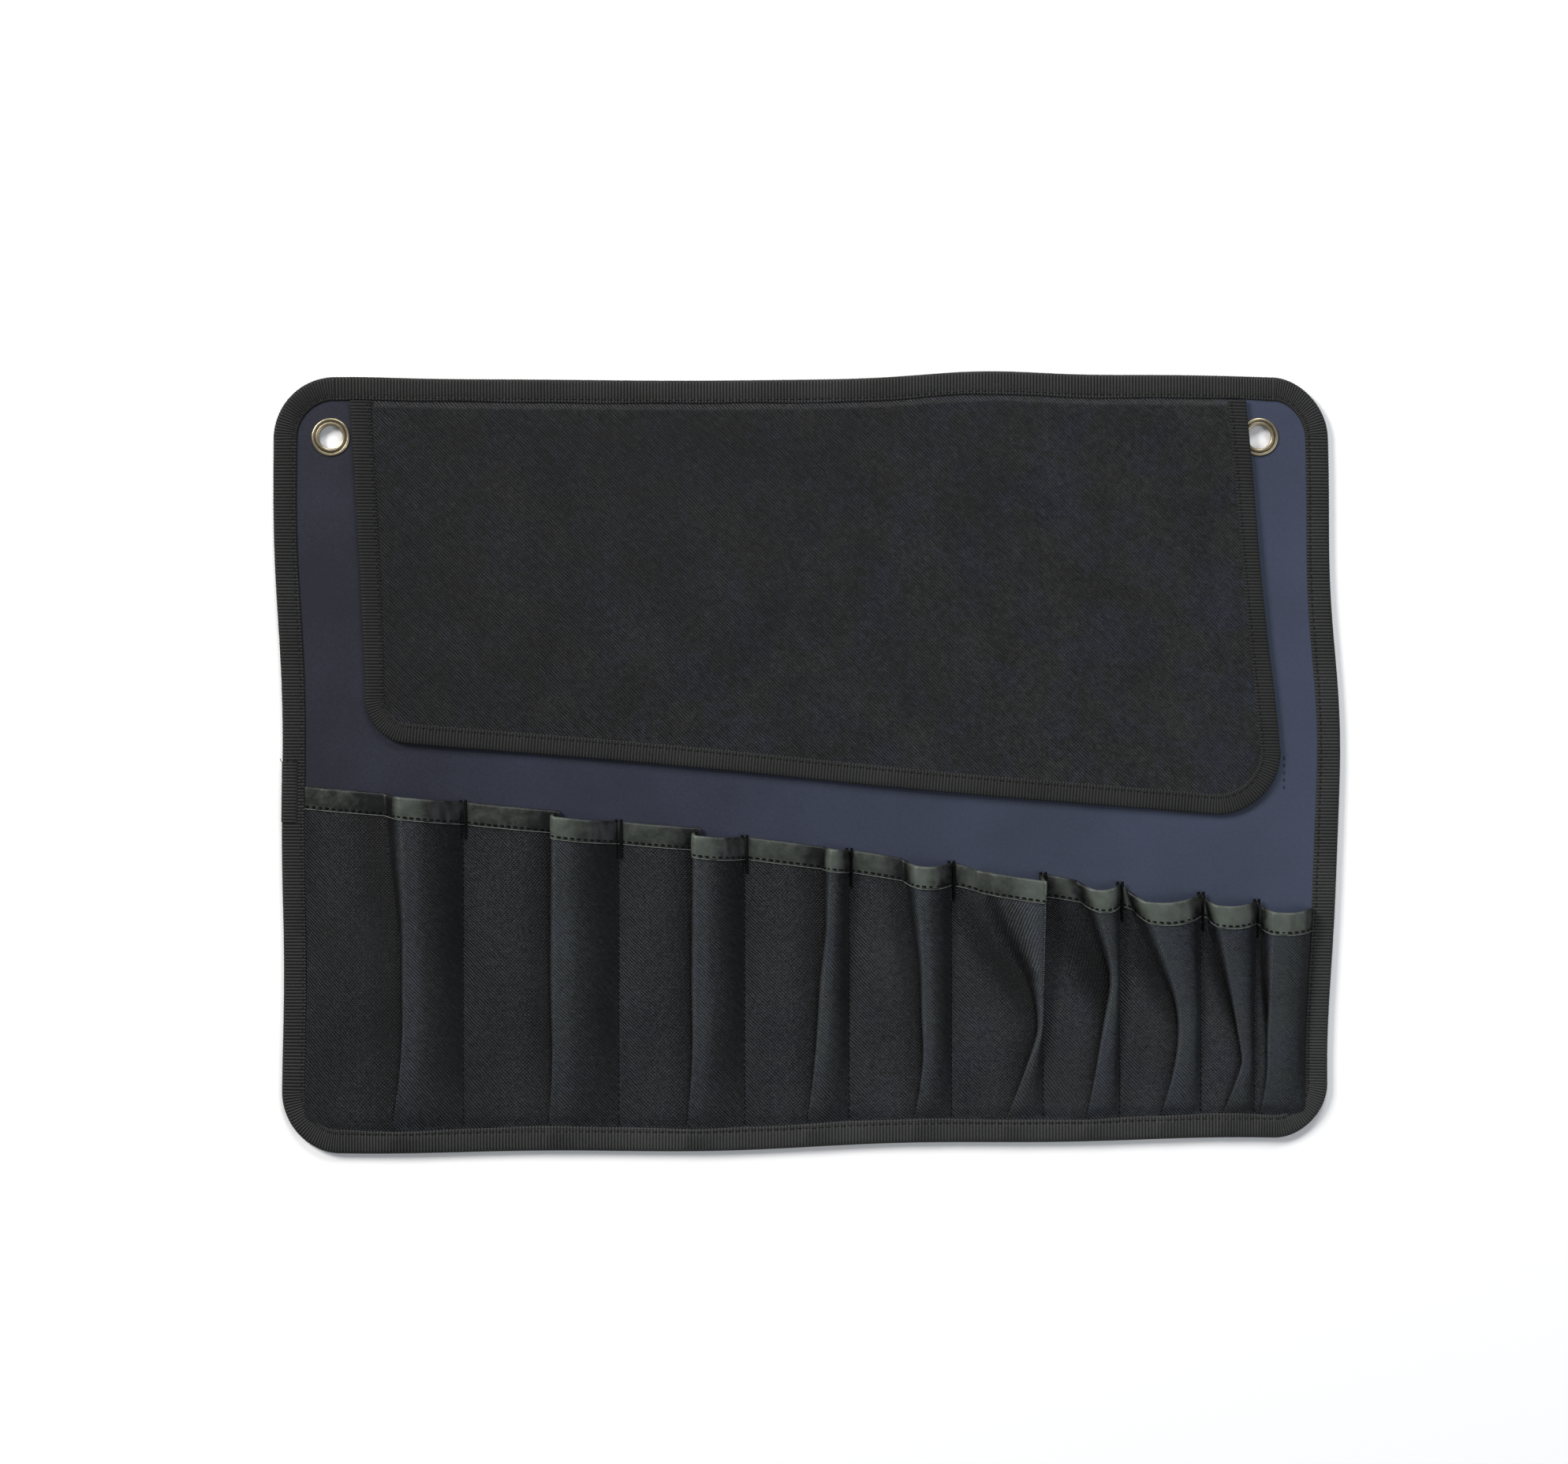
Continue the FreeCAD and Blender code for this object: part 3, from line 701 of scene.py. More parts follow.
def end_run(side):
    """Outer-edge points round one end of the case, from the top run to the foot run."""
    quarter = CORNER * math.pi / 2
    straight = 2 * (HALF_Y - CORNER)
    total = 2 * quarter + straight
    far = np.linspace(0, total, int(total / (RIB_PITCH / RIB_POINTS)))
    line, inward = np.zeros((len(far), 3)), np.zeros((len(far), 3))
    centre_x = side * (HALF_X - CORNER)
    for i, s in enumerate(far):
        if s < quarter:
            a = s / CORNER
            centre_y, nx, ny = HALF_Y - CORNER, math.sin(a), math.cos(a)
        elif s < quarter + straight:
            centre_y, nx, ny = HALF_Y - CORNER - (s - quarter), 1.0, 0.0
        else:
            a = (s - quarter - straight) / CORNER
            centre_y, nx, ny = -(HALF_Y - CORNER), math.cos(a), -math.sin(a)
        line[i] = (centre_x + side * CORNER * nx, centre_y + CORNER * ny, 0)
        inward[i] = (-side * nx, -ny, 0)
    return line, inward, far


def band_stitches(name, line, inward, height):
    seam = line + inward * STITCH_IN
    seam[:, 2] = height
    starts, ends = run_of_stitches(seam, TAPE_STITCH)
    return stitches(name, starts, ends, TAPE_THREAD, GREY_THREAD)


def wander(far, seed):
    """Slight unevenness of the tape's folded width."""
    return 1 + 0.022 * np.sin(far / 19 + seed) + 0.016 * np.sin(far / 7.3 + 2 * seed)


for fold in range(1, STRIPS):
    left = -(HALF_X - CORNER) if fold == 1 else MIDS[fold - 1]
    right = HALF_X - CORNER if fold == STRIPS - 1 else MIDS[fold]
    for edge, y, way in (("top", HALF_Y, -1.0), ("foot", -HALF_Y, 1.0)):
        line, inward, far = straight_run(left, right, y, way)
        if edge == "top":
            loosen, lift = wander(line[:, 0], 1.0), None
        else:
            loosen = wander(line[:, 0], 3.0) + 0.05 * np.sin(line[:, 0] / 23)
            lift = tape_bulge(line[:, 0])
        band = tape_band(f"edge_tape_{edge}_{fold}", line, inward, far, loosen, lift)
        if edge == "top":
            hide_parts(f"edge_binding_{fold}")
            if fold == STRIPS - 1:
                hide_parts(f"edge_binding_{STRIPS}")
        bend_at_fold(band, fold)
        for face, height in STITCH_HEIGHTS:
            if lift is not None and face == "upper":
                height = height + lift
            sewn = band_stitches(f"edge_stitching_{edge}_{face}_{fold}", line, inward, height)
            bend_at_fold(sewn, fold)
for side, strip in ((-1, 1), (1, STRIPS)):
    where = "wide_end" if side < 0 else "narrow_end"
    line, inward, far = end_run(side)
    lift = np.where(line[:, 1] < 0, tape_bulge(line[:, 0]), 0)
    loosen = 1 + 0.012 * np.sin(far / 17)
    band = tape_band(f"edge_tape_{where}", line, inward, far, loosen, lift)
    ride_strip(band, strip)
    for face, height in STITCH_HEIGHTS:
        if face == "upper":
            height = height + lift
        sewn = band_stitches(f"edge_stitching_{where}_{face}", line, inward, height)
        ride_strip(sewn, strip)


def tape_lap():
    """Where the tape's ends meet, half way down the wide end: a second layer, with a frayed end."""
    high, low = 0.5, -28.0
    y = np.arange(high, low, -RIB_PITCH / RIB_POINTS)
    line = np.stack([np.full_like(y, -HALF_X - 0.25), y, np.zeros_like(y)], axis=1)
    inward = np.repeat([[1.0, 0.0, 0.0]], len(y), axis=0)
    profile = [(0.0, 1.4), (0.1, 2.6), (0.7, 3.35), (2.4, 3.62), (5.0, 3.66), (6.9, 3.55), (7.4, 3.3),
               (7.3, 2.9), (5.0, 2.7), (2.4, 2.7), (1.0, 2.4), (0.7, 1.4)]
    ways = [(-1, 0), (-0.9, 0.4), (-0.5, 0.8), (0, 1), (0, 1), (0, 1), (0.5, 0.5)] + [(0, 0)] * 5
    lap = tape_band("edge_tape_lap", line, inward, -y, profile=profile, ways=ways)
    ride_strip(lap, 1)
    starts, ends = [], []
    for number in range(9):
        x = -HALF_X + 0.2 + number * 0.85
        reach = rng.uniform(0.8, 2.2)
        lean = rng.uniform(-1.2, 0.8) - (1.8 if number == 0 else 0)
        starts.append((x, high - 0.4, 3.3))
        ends.append((x + lean, high + reach, 3.4 + rng.uniform(-0.2, 0.5)))
    fray = stitches("edge_tape_fray", starts, ends, 0.16, GREY_THREAD)
    ride_strip(fray, 1)


tape_lap()


# Pocket fronts: one pleated cloth, divided along the pleats' creases.

FOOT_Y = -INNER_Y - 1.6
MOUTH_LEFT = corner("pocket_front_1", 1, 1)
MOUTH_SLOPE = (corner("pocket_front_1", 1, 1) - corner("pocket_front_9", 1, 1)) / (SEAMS[8] - SEAMS[0])
CLOTH = 0.7
SEWN_DOWN = PANEL_TOP + CLOTH + 0.15


def seam_mouth(x):
    """How high a pocket seam reaches: its tack holds it a little above the lip's own line."""
    return MOUTH_LEFT - MOUTH_SLOPE * (x + INNER_X) + 2.3 * smooth(x, -INNER_X, -INNER_X + 60)


def crest_share(pleat, v):
    """Where the crest stands at each height: up to the knee, then on to the mouth."""
    low_lean = (pleat.knee - pleat.foot) / pleat.knee_at
    high_lean = (pleat.knee - pleat.mouth) / (1 - pleat.knee_at)
    under = np.logaddexp(0, (pleat.knee_at - v) / pleat.soft) * pleat.soft
    over = np.logaddexp(0, (v - pleat.knee_at) / pleat.soft) * pleat.soft
    return pleat.knee - low_lean * under - high_lean * over


def pocket_surface(pocket, c, v):
    """Points of a pocket's cloth. c runs 0 to 1 up to the crease, to 2 up the pleat, to 3 at the seam."""
    pleat = PLEATS[pocket - 1]
    left, right = SEAMS[pocket - 1], SEAMS[pocket]
    width = right - left
    v = np.broadcast_to(v, np.broadcast_shapes(np.shape(c), np.shape(v)))
    c = np.broadcast_to(c, v.shape)
    t, q, r = np.clip(c, 0, 1), np.clip(c - 1, 0, 1), np.clip(c - 2, 0, 1)
    crest = left + crest_share(pleat, v) * width
    spread = smooth(v, pleat.opening, 1.0)
    wall = -0.7 + (pleat.wall + 0.7) * spread
    crease = np.maximum(crest - wall, left + 2.0)
    roll = 1.0 + 1.9 * smooth(v, 0.1, 0.5) * min(1.0, width / 50)
    curl = roll * (1 - 0.9 * smooth(v, pleat.opening, 0.5 + pleat.opening / 2)) if pleat.wall > 0 else roll
    full = min(7.8, 5.0 + 0.06 * width)
    rise = 0.8 + 1.2 * smooth(v, 0.01, 0.09) + (full - 2.0) * np.clip(v, 0, 1) ** 1.1
    swell = (0.3 + 2.3 * smooth(v, 0.05, 0.6)) * min(1.0, width / 60) * (1 - 0.4 * spread)
    crisp, gentle = 1 - np.abs(2 * t - 1) ** 2.4, np.sin(math.pi * t) ** 2
    left_z = SEWN_DOWN + swell * (crisp + (gentle - crisp) * smooth(v, 0.25, 0.7))
    steep = np.clip(9.0 / np.maximum(np.abs(wall), 1.0), 0.2, 1.0)
    wall_z = SEWN_DOWN + rise * smooth(q / steep, 0, 1)
    fall = np.cos(math.pi / 2 * r ** pleat.hold)
    right_z = SEWN_DOWN + rise * fall
    z = np.where(c <= 1, left_z, np.where(c <= 2, wall_z, right_z))
    wall_x = crease + q * (crest - crease) - curl * np.sin(math.pi * q)
    x = np.where(c <= 1, left + t * (crease - left), np.where(c <= 2, wall_x, crest + r * (right - crest)))
    across = np.clip((x - left) / width, 0, 1.05)
    straight = seam_mouth(left) + (seam_mouth(right) - seam_mouth(left)) * across
    dip = np.where(c <= 1, pleat.dip_in * t ** 1.5,
                   np.where(c <= 2, pleat.dip_in + (pleat.dip_out - pleat.dip_in) * np.sin(q * math.pi / 2),
                            pleat.dip_out * (1 - r ** 2.2)))
    y = FOOT_Y + v * (straight - dip - FOOT_Y)
    calm = smooth(np.abs(x - left), 0, 6) * smooth(np.abs(x - right), 0, 6) * smooth(v, 0, 0.15)
    z = z + calm * (0.3 * ripple(x, y * 0.5, 13, pocket * 1.3) + 0.08 * ripple(x, y, 4, pocket))
    held = 1 - smooth(y, -INNER_Y - 0.5, -INNER_Y + 5)
    z = SEWN_DOWN - 0.8 * held + (z - SEWN_DOWN) * (1 - 0.45 * held)
    return np.stack([x, y, z], axis=-1)


def pleat_columns(part):
    """Column positions on one side of a crease: before it (0) or after it (1)."""
    if part == 0:
        near_seam = np.array([0, 0.012, 0.025, 0.04, 0.055])
        return np.concatenate([near_seam, np.linspace(0.08, 1, 15)])
    wall = np.linspace(1, 2, 13)
    right = 2 + np.linspace(0, 1, 20)[1:]
    near_seam = np.array([2.93, 2.955, 2.97, 2.985])
    return np.unique(np.concatenate([wall, right[right < 2.92], near_seam, [3.0]]))


def painted_light(pocket, c, v):
    """Painted light on the pocket cloth: a painted highlight along each crest, above 0, and painted shade
    in folds, towards the next seam and in a nook of narrow pockets, below 0.
    """
    pleat = PLEATS[pocket - 1]
    narrow = SEAMS[pocket] - SEAMS[pocket - 1] < 46
    flat_crest = pleat.hold < 2.5
    opens_wide = pleat.wall > 12
    v = np.broadcast_to(v, np.broadcast_shapes(np.shape(c), np.shape(v)))
    c = np.broadcast_to(c, v.shape)
    t, q, r = np.clip(c, 0, 1), np.clip(c - 1, 0, 1), np.clip(c - 2, 0, 1)
    grown = smooth(v, 0.0, 0.35)
    shut = 1 - (0.85 * smooth(v, pleat.opening, 1.0) if opens_wide else 0)
    # fold: painted shade before the crease; crest: painted highlight along the crest; shade: painted shade
    # falling to the next seam; nook: painted shade from the seam at the mouth down towards the crease on
    # narrow pockets.
    fold = -1.0 * shut * smooth(t, 0.55, 1.0) * (1 - smooth(q, 0.25, 0.7))
    crest = 0.95 * smooth(q, 0.45, 0.8) * (1 - smooth(r, 0.12, 0.42 if flat_crest else 0.8))
    shade = -0.75 * smooth(r, 0.3 if flat_crest else 0.7, 0.85) * (1 - 0.6 * smooth(r, 0.97, 1.0))
    nook = hump(t, 1.7 - 1.6 * v, 0.32) * smooth(v, 0.35, 0.6) * (1 - smooth(q, 0.2, 0.7))
    return (fold + crest) * (0.35 + 0.65 * grown) + shade * grown - (1.1 * nook if narrow else 0)


def front_columns(seam, v):
    """A row of the cloth from the crease before a seam to the crease after it, with weave lean and painted
    light.
    """
    rows, leans, painted_light_rows = [], [], []
    if seam > 0:
        c = pleat_columns(1)[None, :]
        rows.append(pocket_surface(seam, c, v))
        leans.append(np.broadcast_to(1 - smooth(c, 1.7, 2.05), (len(v), c.shape[1])))
        painted_light_rows.append(painted_light(seam, c, v))
    if seam < POCKETS:
        c = pleat_columns(0)[None, :] if seam == 0 else pleat_columns(0)[None, 1:]
        rows.append(pocket_surface(seam + 1, c, v))
        leans.append(np.broadcast_to(0.35 * smooth(c, 0.05, 0.6), (len(v), c.shape[1])))
        painted_light_rows.append(painted_light(seam + 1, c, v))
    painted_light_extras = {"lean": np.concatenate(leans, axis=1), "painted_light": np.concatenate(painted_light_rows, axis=1)}
    return np.concatenate(rows, axis=1), painted_light_extras


def cloth_place(grid):
    """Distance along and up the cloth itself, so its weave follows every fold."""
    steps = np.linalg.norm(np.diff(grid, axis=1), axis=2)
    along = np.concatenate([np.zeros((grid.shape[0], 1)), np.cumsum(steps, axis=1)], axis=1)
    return np.stack([along + grid[:1, :1, 0], grid[..., 1], grid[..., 2] * 0], axis=-1)


def seam_rides(piece, seam):
    """The piece that holds a seam rides on its strip, or, where the case folds on the seam, only has its
    place baked into its points.
    """
    before = POCKET_STRIP[seam - 1] if seam > 0 else POCKET_STRIP[0]
    after = POCKET_STRIP[seam] if seam < POCKETS else POCKET_STRIP[-1]
    if before == after:
        ride_strip(piece, before)
    else:
        bend_at_fold(piece, before)


def trim_surface(seam, profile, crinkle=0.0):
    """Grid on the cloth near the mouth: each row drops below the mouth and lifts off the cloth."""
    v_rows = 1 - np.linspace(TRIM_REACH, 0, 29)
    base, _ = front_columns(seam, v_rows[:, None])
    n = normals(base)
    up = base[-1] - base[-2]
    up /= np.linalg.norm(up, axis=1, keepdims=True)
    rows = []
    share = np.linspace(0, 1, base.shape[1])
    crushed = 0.6 + 1.5 * hump(share, 0.42, 0.16) + 1.2 * hump(share, 0.62, 0.1)
    for drop, lift in profile:
        below = max(drop, 0.0)
        step = base[-1, :, 1] - base[:, :, 1]
        found = np.empty_like(base[-1])
        facing = np.empty_like(base[-1])
        for column in range(base.shape[1]):
            order = step[::-1, column]
            for k in range(3):
                found[column, k] = np.interp(below, order, base[::-1, column, k])
                facing[column, k] = np.interp(below, order, n[::-1, column, k])
        beyond = up * max(-drop, 0.0)
        wrinkle = crinkle * crushed * ripple(found[:, 0] * 2.6, found[:, 1], 6.5, seam * 2.1)
        rows.append(found + beyond + facing * (lift + wrinkle)[:, None])
    return np.array(rows)


# Share of a pocket's height in which its trim is laid.
TRIM_REACH = 14.0 / 120.0
# How far each row of the trim lies below the mouth, and how high above the cloth.
TRIM_OUT = [(10.0, 0.12), (9.9, 0.42), (9.4, 0.5), (8.8, 0.34), (7.8, 0.52), (6.0, 0.62), (4.0, 0.64),
            (2.2, 0.62), (0.8, 0.6), (0.1, 0.5), (-0.35, 0.1), (-0.45, -0.4), (-0.3, -0.9), (0.2, -1.2),
            (1.5, -1.3), (6.0, -1.3)]
TRIM_IN = [(10.0, 0.02), (9.7, 0.04), (9.2, 0.05), (8.7, 0.04), (7.8, 0.05), (6.0, 0.05), (4.0, 0.05),
           (2.2, 0.05), (0.9, 0.05), (0.3, 0.02), (0.05, -0.15), (0.0, -0.4), (0.05, -0.62), (0.4, -0.78),
           (1.5, -0.8), (6.0, -0.8)]
EDGE_BEAD = [(10.38, 0.08), (10.33, 0.36), (10.2, 0.46), (10.05, 0.4), (10.0, 0.2)]
EDGE_BEAD_LOW = [(10.33, 0.02), (10.28, 0.04), (10.2, 0.05), (10.12, 0.05), (10.05, 0.04)]

for seam in range(POCKETS + 1):
    v = (np.linspace(0, 1, 76) ** 0.95)[:, None]
    # front_columns also gives the cloth's painted light: painted highlight on crests and painted shade in
    # folds.
    top, painted_light_extras = front_columns(seam, v)
    low = top - normals(top) * CLOTH
    low[..., 2] = np.maximum(low[..., 2], PANEL_TOP + 0.05)
    cloth = sheet(f"pocket_cloth_{seam}", top, low, POCKET_CLOTH, cloth_place(top), painted_light_extras, crease=80)
    if seam > 0:
        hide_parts(f"pocket_front_{seam}")
    tall = float(np.mean(top[-1, :, 1] - top[0, :, 1]))
    tall * 1.01 * MM
    seam_rides(cloth, seam)

    outer = trim_surface(seam, TRIM_OUT, 0.32)
    inner = trim_surface(seam, TRIM_IN)
    # The trim takes the painted highlight and painted shade of the cloth's top row.
    mouth_painted_light = {"painted_light": np.repeat(painted_light_extras["painted_light"][-1:], len(outer), axis=0)}
    trim = sheet(f"pocket_edging_{seam}", outer, inner, VINYL, cloth_place(outer), mouth_painted_light, crease=80)
    if seam > 0:
        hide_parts(f"pocket_trim_{seam}")
    seam_rides(trim, seam)

    bead_top, bead_low = trim_surface(seam, EDGE_BEAD), trim_surface(seam, EDGE_BEAD_LOW)
    bead = sheet(f"edging_lip_{seam}", bead_top, bead_low, CUT_EDGE, crease=80)
    seam_rides(bead, seam)

    line = trim_surface(seam, [(8.9, 0.5)])[0]
    starts, ends = run_of_stitches(line, 3.1, 0.7)
    sewn = stitches(f"edging_stitching_{seam}", starts, ends, 0.42, DARK_THREAD)
    seam_rides(sewn, seam)


# Seams between pockets: a line of stitches, with a dense double tack at the mouth.

for seam in range(1, POCKETS):
    x = SEAMS[seam]
    mouth = seam_mouth(x)
    y = np.linspace(FOOT_Y + 3, mouth - 17, 60)
    line = np.stack([np.full_like(y, x), y, np.full_like(y, PANEL_TOP + CLOTH + 0.2)], axis=1)
    starts, ends = run_of_stitches(line, 3.0)
    sewn = stitches(f"seam_stitching_{seam}", starts, ends, 0.22, DARK_THREAD)
    seam_rides(sewn, seam)
    starts, ends = [], []
    for row in (-1.15, 1.15):
        for number in range(19):
            y = mouth + 0.8 - number * 0.95
            height = SEWN_DOWN + (0.95 if y > mouth - 10.5 else 0.35)
            starts.append((x + row - 0.75, y - 0.2, height))
            ends.append((x + row + 0.75, y + 0.2, height))
    tack = stitches(f"bartack_{seam}", starts, ends, 0.5, DARK_THREAD)
    seam_rides(tack, seam)


# Flap: eight lengths of cloth from under the top tape, with a ribbed hem.

FLAP_Z = FOLDS["flap_fold_1"].z
FLAP_TOP_Y = FOLDS["flap_fold_1"].y
FLAP_LEFT_TOP = corner("flap_binding_1", 0, 0)
FLAP_LEFT_FOOT = FLAP_LEFT_TOP + 6.6
FLAP_RIGHT_FOOT = corner("flap_binding_8", 1, 0)
FLAP_RIGHT_TOP = FLAP_RIGHT_FOOT - 15.6
FLAP_FOOT_LEFT = 11.0
FLAP_FOOT_RIGHT = corner("flap_binding_8", 0, 1)
FLAP_SLOPE = (FLAP_FOOT_LEFT - FLAP_FOOT_RIGHT) / (FLAP_RIGHT_FOOT - FLAP_LEFT_FOOT)
HEM = 9.5
FLAP_CLOTH_THICK = 0.6
LEFT_RADIUS, RIGHT_RADIUS = 22.0, 30.0
# The hem laps this far over the cloth at the sides and the foot.
HEM_LAP, FOOT_LAP = 3, 2.5
# Points of the hem's path that are left out at each end when only its foot is wanted.
SIDE_POINTS = 200


def flap_foot(x):
    return FLAP_FOOT_LEFT - FLAP_SLOPE * (x - FLAP_LEFT_FOOT)


def flap_side(side, y):
    t = (FLAP_TOP_Y - y) / FLAP_TOP_Y
    if side < 0:
        return FLAP_LEFT_TOP + (FLAP_LEFT_FOOT - FLAP_LEFT_TOP) * t + 1.2 * np.sin(math.pi * t)
    return FLAP_RIGHT_TOP + (FLAP_RIGHT_FOOT - FLAP_RIGHT_TOP) * np.clip(t, 0, 1.05) ** 0.9


def flap_height(x, y):
    """Mid height of the flap's cloth: tucked under the tape, then lying in soft waves."""
    free = 1 - smooth(y, 150, 166)
    tucked = smooth(y, FLAP_TOP_Y - 3.4, FLAP_TOP_Y + 0.2)
    wave = 0.35 * ripple(x, y, 60, 1.1) + 0.12 * ripple(x, y, 22, 3.0)
    return FLAP_Z - 1.75 * tucked + 0.1 * free + free * wave


def hem_side(side, low, step):
    """Outer and inner points of the hem down one side of the flap, to height low."""
    y = np.arange(FLAP_TOP_Y - 0.2, low, -step)
    outer = np.stack([flap_side(side, y), y], axis=1)
    return outer, outer - np.array([side * HEM, 0.0])


def hem_corner(centre, radius, start, stop, step):
    """Outer and inner points of the hem round one corner of the flap."""
    angles = np.linspace(start, stop, max(3, int(abs(stop - start) * radius / step)))
    way = np.stack([np.cos(angles), np.sin(angles)], axis=1)
    return centre + radius * way, centre + (radius - HEM) * way


def corner_centre(side, foot, radius):
    x = flap_side(side, foot + radius) - side * radius
    return np.array([x, foot + radius + side * FLAP_SLOPE * radius])


def hem_path():
    """Matching outer and inner points round the flap's free edge, close enough for its ribs."""
    step = RIB_PITCH / RIB_POINTS
    slope = math.atan(FLAP_SLOPE)
    left = corner_centre(-1, flap_foot(FLAP_LEFT_FOOT), LEFT_RADIUS)
    right = corner_centre(1, flap_foot(FLAP_RIGHT_FOOT), RIGHT_RADIUS)
    down = hem_side(-1, left[1], step)
    up = hem_side(1, right[1], step)
    low = math.pi * 1.5 - slope
    left_turn = hem_corner(left, LEFT_RADIUS, math.pi, low, step)
    right_turn = hem_corner(right, RIGHT_RADIUS, low, math.pi * 2, step)
    count = int(np.linalg.norm(right_turn[0][0] - left_turn[0][-1]) / step)
    t = np.linspace(0, 1, count + 1)[:, None]
    sag = 0.9 * np.sin(t[:, 0] * math.pi * 2.0) * np.sin(t[:, 0] * math.pi)
    edges = []
    for face in (0, 1):
        first, last = left_turn[face], right_turn[face]
        foot = first[-1] + (last[0] - first[-1]) * t
        foot[:, 1] += sag
        edges.append(np.concatenate([down[face], first, foot[1:-1], last, up[face][::-1]]))
    return edges


HEM_PROFILE = [(0.0, 0.0), (0.05, 0.35), (0.6, 0.62), (2.5, 0.7), (5.0, 0.7), (7.2, 0.62), (8.0, 0.5),
               (8.8, 0.6), (9.4, 0.52), (9.5, 0.2), (9.5, -0.2), (9.4, -0.5), (7.2, -0.62), (5.0, -0.68),
               (2.5, -0.68), (0.6, -0.6), (0.05, -0.35)]
HEM_LEVEL = 160


def hem_height(spot):
    """Mid height of the hem: level with the flap, and not tucked in with it at the top."""
    return flap_height(spot[:, 0], np.minimum(spot[:, 1], HEM_LEVEL))


def hem_piece(name, outer, inner, far):
    profile = np.array(HEM_PROFILE)
    rib = np.sin(far * (2 * math.pi / RIB_PITCH)) * 0.12
    sections = np.zeros((len(outer), len(profile), 3))
    for k, (w, z) in enumerate(profile):
        spot = outer + (inner - outer) * (w / HEM)
        sections[:, k, :2] = spot
        sections[:, k, 2] = hem_height(spot) + z + math.copysign(1, z) * rib
    extra = {"along": np.repeat(far[:, None], len(profile), axis=1),
             "inward": np.repeat(profile[None, :, 0], len(outer), axis=0)}
    return swept(name, sections, HEM_CLOTH, extra)


def turn_with_flap(piece):
    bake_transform(piece)


def flap_grid(strip):
    """Points of one length of the flap, in rows down from the top tape."""
    low_x = FLAP_LEFT_TOP + HEM_LAP if strip == 1 else EDGES[strip - 1]
    high_x = FLAP_RIGHT_TOP - HEM_LAP if strip == STRIPS else EDGES[strip]
    across = np.linspace(0, 1, max(8, int((high_x - low_x) / 2.6)))
    bend_foot = FLAP_TOP_Y - 5
    bend = np.linspace(FLAP_TOP_Y + 5.5, bend_foot, 24)
    rise = np.concatenate([bend, bend_foot - np.linspace(0, 1, 70)[1:] * bend_foot])
    x = np.zeros((len(rise), len(across)))
    y = np.zeros_like(x)
    for column, part in enumerate(across):
        nominal = low_x + part * (high_x - low_x)
        foot = flap_foot(nominal) + FOOT_LAP
        down = rise.copy()
        below = down < bend_foot
        down[below] = bend_foot + (down[below] - bend_foot) * (bend_foot - foot) / bend_foot
        y[:, column] = down
        x[:, column] = nominal
        if strip == 1:
            edge = flap_side(-1, np.clip(down, 0, FLAP_TOP_Y)) + HEM_LAP
            x[:, column] = edge + part * (high_x - edge)
        elif strip == STRIPS:
            edge = flap_side(1, np.clip(down, -30, FLAP_TOP_Y)) - HEM_LAP
            x[:, column] = low_x + part * (edge - low_x)
    return x, y


def round_corner(x, y, side, radius):
    """Draws the points beyond one corner of the flap in to its curve."""
    foot_x = FLAP_LEFT_FOOT if side < 0 else FLAP_RIGHT_FOOT
    centre_y = flap_foot(foot_x) + radius + FOOT_LAP + side * FLAP_SLOPE * radius
    centre_x = flap_side(side, centre_y) - side * (radius + FOOT_LAP)
    dx, dy = x - centre_x, y - centre_y
    away = np.hypot(dx, dy)
    out = (dx * side > 0) & (dy < 0) & (away > radius)
    shrink = radius / np.maximum(away, 1e-6)
    return np.where(out, centre_x + dx * shrink, x), np.where(out, centre_y + dy * shrink, y)


def hem_part(strip):
    """The stretch of the hem's path on one strip, cut off square at the strip's edges."""
    inside = (hem_outer[:, 0] >= EDGES[strip - 1] - 1e-6) & (hem_outer[:, 0] <= EDGES[strip] + 1e-6)
    foot = slice(SIDE_POINTS, -SIDE_POINTS)
    cut = []
    for values in (hem_outer, hem_inner, hem_far[:, None]):
        parts = [values[inside]]
        for bound in EDGES[strip - 1:strip + 1]:
            at = [np.interp(bound, hem_outer[foot, 0], column) for column in values[foot].T]
            if bound == EDGES[strip] and strip < STRIPS:
                parts.append([at])
            elif bound == EDGES[strip - 1] and strip > 1:
                parts.insert(0, [at])
        cut.append(np.concatenate(parts))
    return cut[0], cut[1], cut[2][:, 0]


hem_outer, hem_inner = hem_path()
hem_far = np.concatenate([[0], np.cumsum(np.linalg.norm(np.diff(hem_outer, axis=0), axis=1))])
for strip in range(1, STRIPS + 1):
    x, y = flap_grid(strip)
    if strip == 1:
        x, y = round_corner(x, y, -1, LEFT_RADIUS - 2.0)
    if strip == STRIPS:
        x, y = round_corner(x, y, 1, RIGHT_RADIUS - 2.0)
    top = np.stack([x, y, flap_height(x, y) + FLAP_CLOTH_THICK / 2], axis=-1)[::-1]
    low = top - np.array([0, 0, FLAP_CLOTH_THICK])
    flap = sheet(f"flap_cloth_{strip}", top, low, FLAP_CLOTH, crease=60)
    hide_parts(f"flap_panel_{strip}")
    tall = (top[..., 1].max() - top[..., 1].min()) * MM
    cloth_area(top)
    turn_with_flap(flap)

    outer, inner, far = hem_part(strip)
    hem = hem_piece(f"flap_hem_{strip}", outer, inner, far)
    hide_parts(f"flap_binding_{strip}")
    seam_line = outer + (inner - outer) * (8.0 / HEM)
    for face, lift in (("upper", 0.62), ("under", -0.62)):
        line = np.column_stack([seam_line, hem_height(seam_line) + lift])
        starts, ends = run_of_stitches(line, TAPE_STITCH)
        sewn = stitches(f"hem_stitching_{face}_{strip}", starts, ends, TAPE_THREAD, GREY_THREAD)
        turn_with_flap(sewn)
    turn_with_flap(hem)


# Eyelets: turned metal, a rolled flange above and a washer below.

